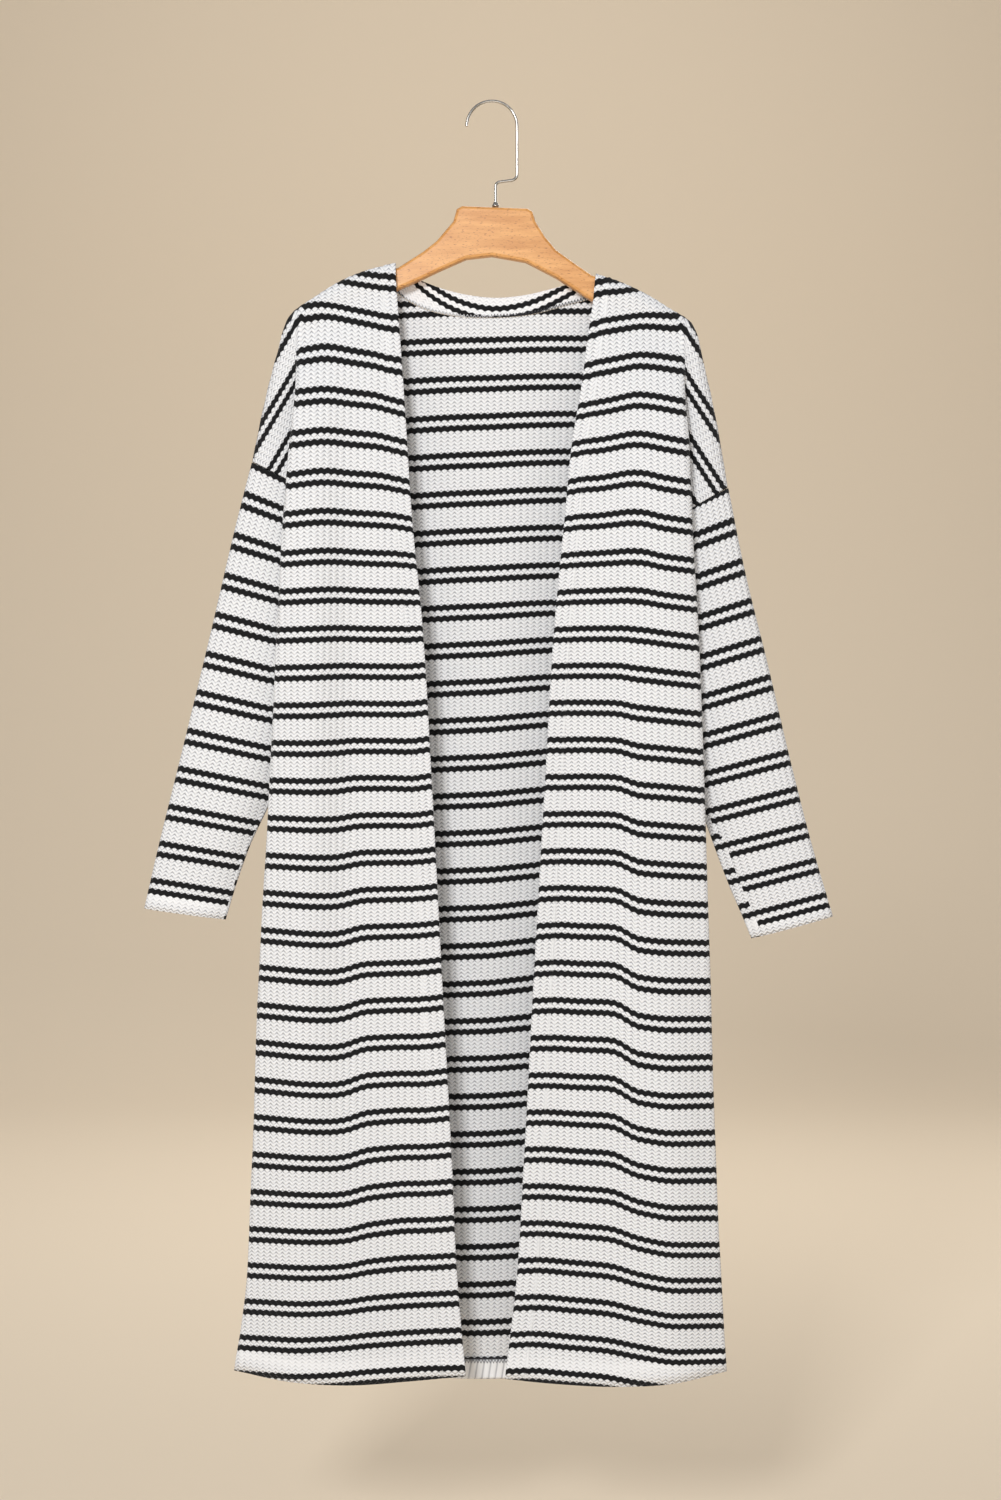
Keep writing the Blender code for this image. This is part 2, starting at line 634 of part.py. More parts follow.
def hanger_hook():
    """The bent wire, as a curve with a round section and closed ends."""
    middle = Vector((HOOK_CENTRE[0], 0, HOOK_CENTRE[1]))
    path = []
    for k in range(HOOK_STEPS + 1):
        angle = math.pi * (1 - k / HOOK_STEPS)
        path.append(middle + Vector((math.cos(angle), 0, math.sin(angle))) * HOOK_RADIUS)
    corners = [path[-1]] + [Vector((x, 0, z)) for (x, z), radius in HOOK_BENDS]
    corners.append(Vector((HOOK_STEM_X, 0, HOOK_FOOT)))
    for i, (place, radius) in enumerate(HOOK_BENDS, start=1):
        path.extend(rounded(corners[i - 1], corners[i], corners[i + 1], radius))
    path.append(corners[-1])
    curve = bpy.data.curves.new("hanger_hook", "CURVE")
    curve.dimensions = "3D"
    curve.bevel_depth = HOOK_WIRE * MM
    curve.bevel_resolution = 2
    curve.use_fill_caps = True
    spline = curve.splines.new("POLY")
    spline.points.add(len(path) - 1)
    for spot, place in zip(spline.points, path):
        spot.co = (*(place * MM), 1.0)
    curve.materials.append(paint("hanger_hook_finish", "polished_steel"))
    obj = bpy.data.objects.new("hanger_hook", curve)
    COLLECTION.objects.link(obj)
    return obj


def hanger_ferrule():
    """The small tapered collar where the wire enters the wood."""
    bm = bmesh.new()
    bmesh.ops.create_cone(bm, cap_ends=True, segments=24, radius1=FERRULE_RADIUS,
                          radius2=FERRULE_RADIUS * FERRULE_TAPER, depth=FERRULE_TALL)
    low = HOOK_FOOT - FERRULE_GAP - FERRULE_TALL / 2
    bmesh.ops.translate(bm, vec=Vector((HOOK_STEM_X, 0, low)), verts=bm.verts)
    return finish("hanger_ferrule", bm, "polished_steel")


def build():
    """Make every piece."""
    front("front_left", LEFT, LEFT_SECTIONS)
    front("front_right", RIGHT, RIGHT_SECTIONS)
    back()
    sleeve("sleeve_left", LEFT, LEFT_SLEEVE)
    sleeve("sleeve_right", RIGHT, RIGHT_SLEEVE)
    neckband()
    hanger_wood()
    hanger_hook()
    hanger_ferrule()


for old in list(bpy.data.objects):
    bpy.data.objects.remove(old)
COLLECTION = bpy.data.collections.new("duster_cardigan")
bpy.context.scene.collection.children.link(COLLECTION)
build()
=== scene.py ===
# %% [markdown]
# # A duster cardigan on a wooden hanger
#
# The cardigan is a long, open-front one in fine rib knit, white with thin black stripes in pairs.
# It hangs on a flat beech hanger with a bent steel hook.  Each cut and sewn piece of cloth is
# made as one thin sheet, laid on the same lines as the solids of the frame.

# %% Load the frame
import math

import bmesh
import bpy
import numpy as np
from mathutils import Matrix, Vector


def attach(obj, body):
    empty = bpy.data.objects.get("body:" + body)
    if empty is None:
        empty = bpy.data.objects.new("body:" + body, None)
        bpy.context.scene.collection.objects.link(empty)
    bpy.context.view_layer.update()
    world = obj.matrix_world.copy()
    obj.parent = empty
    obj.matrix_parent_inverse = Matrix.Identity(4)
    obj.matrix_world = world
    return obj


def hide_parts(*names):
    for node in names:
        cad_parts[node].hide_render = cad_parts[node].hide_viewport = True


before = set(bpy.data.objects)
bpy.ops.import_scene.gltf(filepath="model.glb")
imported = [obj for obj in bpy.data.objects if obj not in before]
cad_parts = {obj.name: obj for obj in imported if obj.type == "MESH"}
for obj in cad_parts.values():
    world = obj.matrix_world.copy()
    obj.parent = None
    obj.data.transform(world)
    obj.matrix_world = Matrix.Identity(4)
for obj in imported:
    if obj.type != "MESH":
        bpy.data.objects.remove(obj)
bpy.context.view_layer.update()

# %% [markdown]
# ## Sizes
#
# Lengths are in millimetres until a mesh is made.  X runs to the viewer's right, Z runs up and
# the front faces -Y.  Every line of cloth that is drawn below lies on the piece's middle surface.

# %% Sizes of the cloth
MM = 0.001
CLOTH = 1.5            # thickness of the knit
RIB_PITCH = 6.8        # from one rib to the next
RIB_RISE = 0.14        # half of the height of a rib
SEAM = 0.9             # from a sewn edge's middle surface to the seam
ARM_SEAM = 0.45        # the same where two pieces meet edge to edge round the armhole
FOLD_RADIUS = 4.0      # of the folds at the sides of the body
FOLD_START = 1.2       # a fold starts this many radii before its outer edge
FOLD_DEEP = 12.0       # cloth shallower than this has no fold yet
VALLEY_DEPTH = 0.75    # how deep the cloth turns back behind the fold, as a share of the fold's depth
VALLEY_DROP = 0.1
VALLEY_WIDTH = 7.0
LEAF_GAP = 7.5         # between the two leaves of cloth behind the fold
ARM_BULGE = 3.0
ARM_CAP = (0.25, 0.6)  # where the rounded top of the shoulder has its two points
ARM_HALF_DEPTH = 12.5
UNDERARM_LIFT = 2.0
UNDER_HALFWAY = 0.9
UNDER_NEAR_SEAM = 0.65
BLUNT = 0.8            # the flat arm is blunt at its top and sharp at its underarm
SHARP = 1.8

# %% [markdown]
# ## Where the camera stands
#
# The camera is level and looks straight at the front.  The stripes' heights below are those
# that it sees on the plane of the front edges, so a point of the cloth that lies further back
# is carried along its line of sight to that plane before its stripe is looked up.

# %% Camera
CAMERA = Vector((9.6, -2225.0, -654.9))
FRONT_PLANE = -25.0
LENS = 52.8

camera_data = bpy.data.cameras.new("camera")
camera_data.lens = LENS
camera = bpy.data.objects.new("camera", camera_data)
camera.location = CAMERA * MM
camera.rotation_euler = (math.radians(90), 0, 0)
bpy.context.scene.collection.objects.link(camera)
bpy.context.scene.camera = camera
print("camera", [round(value) for value in CAMERA], "mm, lens", LENS, "mm")


def seen(points):
    """Where points of the cloth appear on the plane of the front edges, as x and z."""
    scale = (FRONT_PLANE - CAMERA.y) / (points[..., 1] - CAMERA.y)
    x = CAMERA.x + (points[..., 0] - CAMERA.x) * scale
    z = CAMERA.z + (points[..., 2] - CAMERA.z) * scale
    return x, z


# %% [markdown]
# ## The lines of the cloth
#
# These tables are those of the solids.  A front is flat from its open edge to the fold at the
# side of the body, then it turns under that fold and comes out again as the dropped shoulder.

# %% Landmarks and sections
LEFT = {"sign": -1.0, "neck": (-96.0, -163.0), "tip": (-203.0, -217.5),
        "armhole_top": (-241.0, -364.0), "underarm": (-112.0, -432.0), "strip": 2.5}
RIGHT = {"sign": 1.0, "neck": (106.0, -173.0), "tip": (203.0, -226.0),
         "armhole_top": (239.0, -390.0), "underarm": (113.0, -465.0), "strip": 12.0}
COLUMNS = ("arm", "edge_x", "edge_z", "fold_x", "fold_z",
           "y_edge", "y_inner", "y_middle", "y_outer", "y_fold", "seam_x", "sag")
LEFT_SECTIONS = (
    (0.00, -96, -164, -203, -217.5, -0.9, -0.9, -0.9, -0.9, -0.9, None, -10),
    (0.02, -96, -164.6, -203, -218.1, -5.5, -5.5, -5.5, -5.5, -5.5, None, -10),
    (0.05, -96, -170, -202, -224, -9, -9, -9, -9, -9, None, -10),
    (0.11, -95, -191, -196, -246, -9.5, -9.5, -9.5, -10, -11, None, -9),
    (0.28, -92, -232, -195, -287, -12, -14, -16, -20, -20, None, -4),
    (0.50, -88, -288, -199, -329, -15, -18, -21, -28, -25, None, -2),
    (0.75, -84, -349, -203, -373, -17, -21, -23, -31, -27, None, -6),
    (1.00, -80, -411, -207, -425, -19, -22, -24, -34, -28, -112, -8),
    (None, -69, -525, -213, -533, -21, -23, -25, -38, -28, -131, -4),
    (None, -59, -690, -221, -700, -23, -24, -26, -39, -28, -157, 1),
    (None, -49, -880, -232, -891, -25, -26, -28, -39, -25, -183, 5),
    (None, -39, -1065, -239, -1077, -27, -28, -33, -40, -22, -202, 8),
    (None, -33, -1190, -246, -1205, -28, -29, -36, -39, -20, -215, 7),
    (None, -25, -1280, -257, -1277, -28, -30, -38, -37, -18, -228, 8),
)
RIGHT_SECTIONS = (
    (0.00, 106, -174, 203, -226, -0.9, -0.9, -0.9, -0.9, -0.9, None, -6),
    (0.02, 106, -174.6, 203, -226.6, -5.5, -5.5, -5.5, -5.5, -5.5, None, -6),
    (0.05, 105, -180, 201, -232, -9, -9, -9, -9, -9, None, -6),
    (0.11, 103, -201, 195, -254, -9.5, -9.5, -9.5, -10, -11, None, -5),
    (0.28, 98, -234, 194, -296, -12, -14, -17, -20, -20, None, -2),
    (0.50, 91, -288, 197, -336, -15, -17, -22, -28, -25, None, -4),
    (0.75, 81, -349, 199, -383, -17, -19, -25, -31, -27, None, -6),
    (1.00, 75, -411, 201, -435, -19, -20, -28, -34, -28, 113, -6),
    (None, 64, -525, 207, -540, -21, -21, -30, -36, -28, 130, -3),
    (None, 54, -690, 213, -702, -22, -20, -33, -36, -27, 153, 2),
    (None, 43, -880, 219, -889, -25, -23, -36, -38, -25, 175, 6),
    (None, 33, -1065, 225, -1074, -27, -26, -36, -40, -22, 192, 8),
    (None, 25, -1190, 231, -1199, -28, -29, -35, -40, -20, 202, 8),
    (None, 14, -1283, 236, -1278, -28, -31, -36, -38, -18, 210, 8),
)
BACK_COLUMNS = ("middle_z", "y_middle", "y_quarter")
BACK_SECTIONS = (
    (-215, 15.5, 0.9), (-216, 15.5, 5.5), (-221, 15.8, 9), (-232, 16.4, 9.5), (-250, 17, 14),
    (-292, 18, 18), (-352, 20, 21), (-414, 22, 24), (-526, 24, 28), (-692, 25, 31),
    (-884, 27, 33), (-1069, 28, 34), (-1199, 29, 34), (-1299, 29, 34),
)
NECK_SHARE = (0.0, 0.03, 0.18, 0.5)    # how far the back's top rows have left the neckline
SHOULDER_STOPS = 3
CORNER_STOPS = 3
BACK_INSET = 2.0                       # the back's side folds lie this far inside those of the fronts
BAND_COLUMNS = ("seam_x", "seam_z", "top_x", "top_z", "y")
BAND = (
    (-112, -167.3, -97, -164.2, 0.9),
    (-112, -167.9, -97, -164.8, 5.5),
    (-110, -176, -94, -167.5, 9.3),
    (-93, -193, -82, -173, 12),
    (-66, -207, -54, -184, 14),
    (-32, -214, -27, -191, 15.2),
    (4, -215, 4, -194.5, 15.5),
    (40, -212, 36, -191.5, 15.2),
    (76, -203, 64, -185, 14),
    (101, -196, 88, -179, 12),
    (118, -187, 102, -175.8, 9.3),
    (121, -179.9, 106, -174.6, 5.5),
    (121, -179.3, 106, -174, 0.9),
)
SLEEVE_COLUMNS = ("outer_x", "outer_z", "inner_x", "inner_z", "half_depth")
LEFT_SLEEVE = (
    (-241, -364, -117, -429.5, 12.5),
    (-256, -422, -137, -483, 12.0),
    (-283, -537, -172, -581, 11.5),
    (-312, -657, -211, -679, 11.0),
    (-336, -754, -250, -766, 10.0),
    (-350, -815, -269, -826, 9.5),
)
RIGHT_SLEEVE = (
    (239, -390, 121.5, -460, 12.5),
    (254, -465, 139, -515, 12.0),
    (279, -568, 175, -605, 11.5),
    (304, -674, 208, -699, 11.0),
    (324, -752, 233, -770, 10.0),
    (345, -823, 264, -845, 9.5),
)


def section(columns, row):
    """One table row as named values."""
    return dict(zip(columns, row))


def mix(a, b, t):
    """The value or point a share t of the way from a to b."""
    return a + (b - a) * t


def smoothstep(low, high, value):
    """0 below low, 1 above high, and an even turn between them."""
    t = np.clip((value - low) / (high - low), 0.0, 1.0)
    return t * t * (3 - 2 * t)


print("sections: left", len(LEFT_SECTIONS), "right", len(RIGHT_SECTIONS), "back", len(BACK_SECTIONS))

# %% [markdown]
# A smooth curve goes through the few control points of each section, and is then divided into
# even steps from one crease to the next, so that every section gets the same columns.

# %% Smooth lines
def spread(dense, marks, counts):
    """Even steps along a dense line, with the given number of steps between each two marks."""
    points = np.array([tuple(p) for p in dense])
    run = np.concatenate([[0.0], np.cumsum(np.linalg.norm(np.diff(points, axis=0), axis=1))])
    stops = []
    for first, last, count in zip(marks, marks[1:], counts):
        stops.append(np.linspace(run[first], run[last], count, endpoint=False))
    stops = np.concatenate(stops + [[run[marks[-1]]]])
    return np.stack([np.interp(stops, run, points[:, k]) for k in range(3)], axis=1)


def smooth_line(points, breaks, counts, steps=12):
    """Even steps along a smooth curve through the given points, stretch by stretch."""
    dense = []
    for i in range(len(points) - 1):
        before = points[max(i - 1, 0)]
        start = points[i]
        end = points[i + 1]
        after = points[min(i + 2, len(points) - 1)]
        length = max((end - start).length, 1e-6)
        slope_in = (end - before) * (length / max(length + (start - before).length, 1e-6))
        slope_out = (after - start) * (length / max(length + (after - end).length, 1e-6))
        for k in range(steps):
            t = k / steps
            dense.append(start * (2 * t ** 3 - 3 * t ** 2 + 1) + slope_in * (t ** 3 - 2 * t ** 2 + t)
                         + end * (3 * t ** 2 - 2 * t ** 3) + slope_out * (t ** 3 - t ** 2))
    dense.append(points[-1].copy())
    return spread(dense, [steps * b for b in breaks], counts)


def between_sections(sections, rows):
    """More rows, on smooth curves that run down through the sections' matching points."""
    drop = np.linalg.norm(np.diff(sections, axis=0), axis=2).mean(axis=1)
    run = np.concatenate([[0.0], np.cumsum(drop)])
    slopes = np.diff(sections, axis=0) / drop[:, None, None]
    tangent = np.empty_like(sections)
    tangent[0] = slopes[0]
    tangent[-1] = slopes[-1]
    for i in range(1, len(sections) - 1):
        tangent[i] = (slopes[i - 1] * drop[i] + slopes[i] * drop[i - 1]) / (drop[i] + drop[i - 1])
    near_top = min(30.0, run[-1] / 4)
    first = rows // 8
    stops = np.concatenate([np.linspace(0, near_top, first, endpoint=False),
                            np.linspace(near_top, run[-1], rows + 1 - first)])
    place = np.clip(np.searchsorted(run, stops, side="right") - 1, 0, len(drop) - 1)
    t = ((stops - run[place]) / drop[place])[:, None, None]
    h = drop[place][:, None, None]
    grid = (sections[place] * (2 * t ** 3 - 3 * t ** 2 + 1) + tangent[place] * h * (t ** 3 - 2 * t ** 2 + t)
            + sections[place + 1] * (3 * t ** 2 - 2 * t ** 3) + tangent[place + 1] * h * (t ** 3 - t ** 2))
    return grid, np.interp(stops, run, np.arange(len(sections)))


# %% Where the folded side and the dropped shoulder lie
def armhole(half):
    """The top of the armhole, the underarm and the way down into the sleeve, square to that line."""
    top = Vector((half["armhole_top"][0], 0, half["armhole_top"][1]))
    under = Vector((half["underarm"][0], 0, half["underarm"][1]))
    down = (under - top).normalized().cross(Vector((0, half["sign"], 0)))
    return top, under, down


def arm_depth(share):
    """How deep the flat arm is, as a share of its greatest depth, from its top (0) to its underarm (1)."""
    fullness = 2 * math.sqrt(max(share * (1 - share), 0.0))
    return fullness ** mix(BLUNT, SHARP, max(2 * share - 1, 0.0))


def side_points(half, row, facing):
    """The folded cloth past the side fold: under the fold, then out to the armhole or the side seam."""
    sign = half["sign"]
    fold = Vector((row["fold_x"], facing * abs(row["y_fold"]), row["fold_z"]))
    top, under, down = armhole(half)
    share = row["arm"]
    if share is None or share >= 1.0:
        seam = Vector((row["seam_x"], facing * SEAM, row["fold_z"]))
        near = Vector((row["seam_x"] + sign * VALLEY_WIDTH, 0, row["fold_z"]))
        if share:
            seam.z = under.z
            near = under.lerp(top, VALLEY_WIDTH / (under - top).length) - down * UNDERARM_LIFT
        depth = abs(fold.y) - FOLD_RADIUS
        near.y = facing * depth * UNDER_NEAR_SEAM
        points = [Vector((fold.x - sign * FOLD_RADIUS, facing * depth, fold.z)),
                  Vector((mix(fold.x, near.x, 0.5), facing * depth * UNDER_HALFWAY,
                          mix(fold.z, near.z, 0.5))),
                  near, seam]
        return points, 2
    end = top.lerp(under, share) - down * ARM_SEAM
    end.y = facing * max(ARM_HALF_DEPTH * arm_depth(share), SEAM)
    tip = Vector((half["tip"][0], 0, half["tip"][1]))
    valley = tip.lerp(under, share)
    if sign * (fold.x - valley.x) < 2 * FOLD_RADIUS:
        points = [fold.lerp(end, part) + Vector((sign * ARM_BULGE, 0, 0)) for part in ARM_CAP]
        return points + [end], 0
    under_fold = abs(fold.y) - FOLD_RADIUS
    at_valley = under_fold * VALLEY_DEPTH
    behind = min(abs(end.y), at_valley - LEAF_GAP)
    bend = (at_valley - behind) / 2
    points = [Vector((fold.x - sign * FOLD_RADIUS, facing * under_fold, fold.z)),
              Vector((valley.x + sign * bend, facing * at_valley, valley.z)),
              Vector((valley.x, facing * (behind + bend), valley.z)),
              Vector((valley.x + sign * bend, facing * behind, mix(valley.z, end.z, VALLEY_DROP)))]
    points += [end.lerp(points[-1], 0.5), end]
    return points, 2


QUARTERS = ((0, "y_edge"), (0.25, "y_inner"), (0.5, "y_middle"), (0.75, "y_outer"))


def front_lines(half, table):
    """Control points of every section across one front, edge first."""
    lines = []
    for values in table:
        row = section(COLUMNS, values)
        line = []
        for share, depth in QUARTERS:
            drop = row["sag"] * math.sin(math.pi * share)
            line.append(Vector((mix(row["edge_x"], row["fold_x"], share), row[depth],
                                mix(row["edge_z"], row["fold_z"], share) - drop)))
        fold = Vector((row["fold_x"], row["y_fold"], row["fold_z"]))
        side, turn = side_points(half, row, -1)
        if abs(row["y_fold"]) > FOLD_DEEP:
            line.append(fold + Vector((-half["sign"] * FOLD_RADIUS * FOLD_START, -FOLD_RADIUS, 0)))
        line.append(fold)
        mark = len(line) - 1
        line.extend(side)
        lines.append((line, (0, mark, mark + 1 + turn, len(line) - 1)))
    return lines


def back_lines():
    """Control points of every section across the back, from the left seam to the right."""
    neck = [section(BAND_COLUMNS, values) for values in BAND]
    left_top = front_lines(LEFT, LEFT_SECTIONS)[0][0][:5]
    right_top = front_lines(RIGHT, RIGHT_SECTIONS)[0][0][:5]
    stations = [left_top[4], left_top[3], left_top[2]]
    stations += [Vector((n["seam_x"], n["y"], n["seam_z"])) for n in neck]
    stations += [right_top[2], right_top[3], right_top[4]]
    first = stations[0].x
    width = stations[-1].x - first
    across = [(p.x - first) / width for p in stations]
    lines = []
    for r, values in enumerate(BACK_SECTIONS):
        row = section(BACK_COLUMNS, values)
        left = section(COLUMNS, LEFT_SECTIONS[r])
        right = section(COLUMNS, RIGHT_SECTIONS[r])
        line = []
        for share in across:
            dip = math.sin(math.pi * share)
            centre = 1.0 - abs(2 * share - 1) ** 2
            line.append(Vector((
                mix(left["fold_x"] + BACK_INSET, right["fold_x"] - BACK_INSET, share),
                mix(abs(left["y_fold"]) + FOLD_RADIUS, row["y_middle"], centre)
                + (row["y_quarter"] - row["y_middle"]) * math.sin(2 * math.pi * share) ** 2,
                mix(left["fold_z"], right["fold_z"], share)
                + (row["middle_z"] - mix(left["fold_z"], right["fold_z"], 0.5)) * dip)))
        lines.append(line)
    for r, part in enumerate(NECK_SHARE):
        for k, place in enumerate(stations):
            side = LEFT_SECTIONS if k < len(stations) / 2 else RIGHT_SECTIONS
            if k <= SHOULDER_STOPS or k >= len(stations) - 1 - SHOULDER_STOPS:
                fall = side[r][2] - side[0][2]
                lines[r][k] = Vector((place.x, BACK_SECTIONS[r][2], place.z + fall))
            else:
                lines[r][k] = place.lerp(lines[len(NECK_SHARE)][k], part)
                lines[r][k].y = max(lines[r][k].y, BACK_SECTIONS[r][2])
    result = []
    for r, middle in enumerate(lines):
        ends = []
        for half, table in ((LEFT, LEFT_SECTIONS), (RIGHT, RIGHT_SECTIONS)):
            row = section(COLUMNS, table[r])
            row["fold_x"] -= half["sign"] * BACK_INSET
            fold = Vector((row["fold_x"], abs(row["y_fold"]), row["fold_z"]))
            ends.append((fold, *side_points(half, row, 1)))
        (left_fold, left_side, left_turn), (right_fold, right_side, right_turn) = ends
        middle[0], middle[-1] = left_fold, right_fold
        folded = left_fold.y > FOLD_DEEP
        if folded:
            round_in = Vector((FOLD_RADIUS * FOLD_START, FOLD_RADIUS, 0))
            round_out = Vector((-FOLD_RADIUS * FOLD_START, FOLD_RADIUS, 0))
            middle = [middle[0], middle[0] + round_in, *middle[1:-1], middle[-1] + round_out, middle[-1]]
        line = left_side[::-1] + middle + right_side
        start = len(left_side)
        stop = start + len(middle) - 1
        outer = SHOULDER_STOPS + folded
        inner = outer + CORNER_STOPS
        corners = (start, start + outer, start + inner, stop - inner, stop - outer, stop)
        result.append((line, (0, start - 1 - left_turn, *corners, stop + 1 + right_turn, len(line) - 1)))
    return result


# %% [markdown]
# ## Where the stripes run
#
# A knitted stripe follows one course of stitches, so it dips and rises with the cloth.  Each
# table gives the height of a few stripe pairs at the facing's stitch line, and how much higher
# the same pair is at other places on its way to the side fold.  Every point of the cloth then
# gets the number of its course by looking between the pairs above and below it.

# %% Stripe courses
STATIONS = (0.0, 0.125, 0.25, 0.44, 0.5, 0.56, 0.625, 0.75, 1.0)
STEP_FROM = (5.0, 9.0)       # from these pairs on, the stripes take a short step down at the soft fold
STEP_UNTIL = (20.0, 26.0)    # and from these on it is a longer slope again
STEP_EASE = 0.7
STEP_BEFORE = (0.76, 0.25)   # how much of the bend has come just before the fold, high up and low down
STEP_AFTER = (0.48, 0.8)     # and just after it
COURSE_COLUMNS = ("pair", "facing_z", "edge", "quarter", "half", "past_half", "outer", "fold")
LEFT_COURSES = (
    (-1, -181.5, -1.0, 1.5, 5.0, 7.0, 8.0, 2.0),
    (0, -221.8, -1.2, 3.2, 8.5, 11.5, 12.7, 6.5),
    (2, -304.7, -3.9, 4.6, 7.7, 9.9, 10.4, 7.5),
    (4, -383.1, -4.4, 2.9, 5.0, 7.0, 7.0, 3.0),
    (6, -458.6, -2.8, 0.3, 1.9, 2.9, 2.5, 0.0),
    (8, -534.0, 0.5, 0.0, 1.0, 1.0, 0.2, -1.0),
    (10, -609.0, 2.2, 0.2, 1.1, 0.0, -1.2, -1.5),
    (12, -683.8, 3.0, 1.0, 0.9, -2.1, -2.6, -1.5),
    (16, -830.3, 2.5, -0.6, -5.3, -9.1, -8.5, -4.5),
    (20, -978.7, 3.0, 0.4, -7.5, -11.3, -10.7, -5.5),
    (24, -1124.8, 2.0, -0.2, -10.1, -12.1, -11.8, -9.0),
    (27, -1235.9, 1.0, -1.5, -6.1, -8.2, -9.2, -6.0),
    (29, -1310.0, 0.0, -1.1, -5.2, -7.4, -8.4, -3.0),
)
RIGHT_COURSES = (
    (-1, -185.3, -2.5, -0.5, 3.0, 5.0, 6.0, 3.0),
    (0, -226.1, -4.5, 2.3, 5.8, 6.1, 5.2, 3.5),
    (2, -308.4, -3.0, 2.6, 9.1, 8.2, 6.4, 1.5),
    (4, -383.7, -3.5, 0.4, 6.1, 5.7, 1.7, -3.5),
    (6, -458.9, -2.0, 0.4, 3.0, 2.5, -2.2, -6.5),
    (8, -533.8, -1.0, 0.4, 0.6, -1.1, -3.9, -8.5),
    (10, -607.3, -0.6, 0.0, -1.9, -5.5, -7.7, -11.5),
    (12, -681.8, 0.0, 0.6, -2.1, -8.2, -9.6, -13.5),
    (16, -829.3, -2.0, -1.5, -4.5, -15.6, -17.6, -18.5),
    (20, -979.8, -0.6, -1.6, -5.4, -18.1, -21.3, -20.0),
    (24, -1127.7, -0.7, -2.2, -7.9, -16.9, -22.1, -22.0),
    (27, -1238.2, -1.5, -2.9, -8.5, -13.9, -18.7, -17.5),
    (29, -1312.0, -1.0, -2.5, -8.0, -13.0, -17.0, -15.0),
)


def courses_of(table):
    """The pairs' numbers, and their heights at each station from the open edge to the side fold."""
    numbers = []
    heights = []
    for values in table:
        row = section(COURSE_COLUMNS, values)
        low = float(smoothstep(*STEP_FROM, row["pair"]))
        low = low * (1 - STEP_EASE * float(smoothstep(*STEP_UNTIL, row["pair"])))
        before = mix(row["quarter"], row["half"], mix(*STEP_BEFORE, low))
        after = mix(row["half"], row["past_half"], mix(*STEP_AFTER, low))
        rises = (row["edge"], 0.0, row["quarter"], before, row["half"], after,
                 row["past_half"], row["outer"], row["fold"])
        numbers.append(float(row["pair"]))
        heights.append([row["facing_z"] + rise for rise in rises])
    return np.array(numbers), np.array(heights)


def look_up(numbers, levels, height):
    """The course number at each height, where levels holds the height of each numbered pair."""
    result = np.zeros_like(height)
    for k in range(len(numbers) - 1):
        part = (levels[k] - height) / (levels[k] - levels[k + 1])
        value = numbers[k] + part * (numbers[k + 1] - numbers[k])
        if k == 0:
            result = value
        else:
            result = np.where(part >= 0, value, result)
    return result


ROUND_OVER = 0.04    # the stripes' bends are rounded over this share of the width, either way
ROUND_STEPS = (-1.0, -0.5, 0.0, 0.5, 1.0)


def front_course(table, share, height):
    """Course numbers across a front, from the share of the way to the side fold and the height."""
    numbers, heights = courses_of(table)
    near_end = np.clip(np.minimum(share, 1 - share) / ROUND_OVER, 0.0, 1.0)
    levels = []
    for row in heights:
        around = [np.interp(share + step * ROUND_OVER * near_end, STATIONS, row) for step in ROUND_STEPS]
        levels.append(sum(around) / len(around))
    return look_up(numbers, levels, height)


# %% [markdown]
# On the dropped shoulder the cloth hangs turned, because the sleeve pulls it down: there the
# ribs run along the armhole and the stripes steeply across them.

# %% Courses on the dropped shoulder
ARM_COURSES = {
    -1.0: {"across": (0.862, -0.507), "first": -60.4, "pitch": 29.5},
    1.0: {"across": (-0.839, -0.545), "first": -43.6, "pitch": 31.3},
}


def arm_course(half, x, z):
    """Course numbers on the dropped shoulder."""
    side = ARM_COURSES[half["sign"]]
    return (side["across"][0] * x + side["across"][1] * z - side["first"]) / side["pitch"]


def arm_rib(half, x, z):
    """Rib numbers there, counted from the armhole."""
    top, under, down = armhole(half)
    return -((x - top.x) * down.x + (z - top.z) * down.z) / RIB_PITCH


for half in (LEFT, RIGHT):
    print("armhole", [(round(corner.x), round(corner.z)) for corner in armhole(half)[:2]])

# %% [markdown]
# ## From a sheet of points to a piece of cloth
#
# Each sheet starts as a flat grid.  Its vertices are moved onto the cloth's surface, and the
# ribs are real relief, raised and lowered square to the cloth.  The UV map holds the rib
# number and the course number, so that the knit's pattern follows the cloth wherever it goes,
# and a second map says how plain the knit is, as it is along stitched hems.  The material needs
# only these two maps, so one material serves every piece.

# %% Cloth from a grid
def surface_normals(grid, closed=False):
    """Unit vectors square to a grid of points."""
    down = np.gradient(grid, axis=0)
    if closed:
        ring = grid[:, :-1]
        along = (np.roll(ring, -1, axis=1) - np.roll(ring, 1, axis=1)) / 2
        along = np.concatenate([along, along[:, :1]], axis=1)
    else:
        along = np.gradient(grid, axis=1)
    normal = np.cross(along, down)
    return normal / np.maximum(np.linalg.norm(normal, axis=2, keepdims=True), 1e-9)


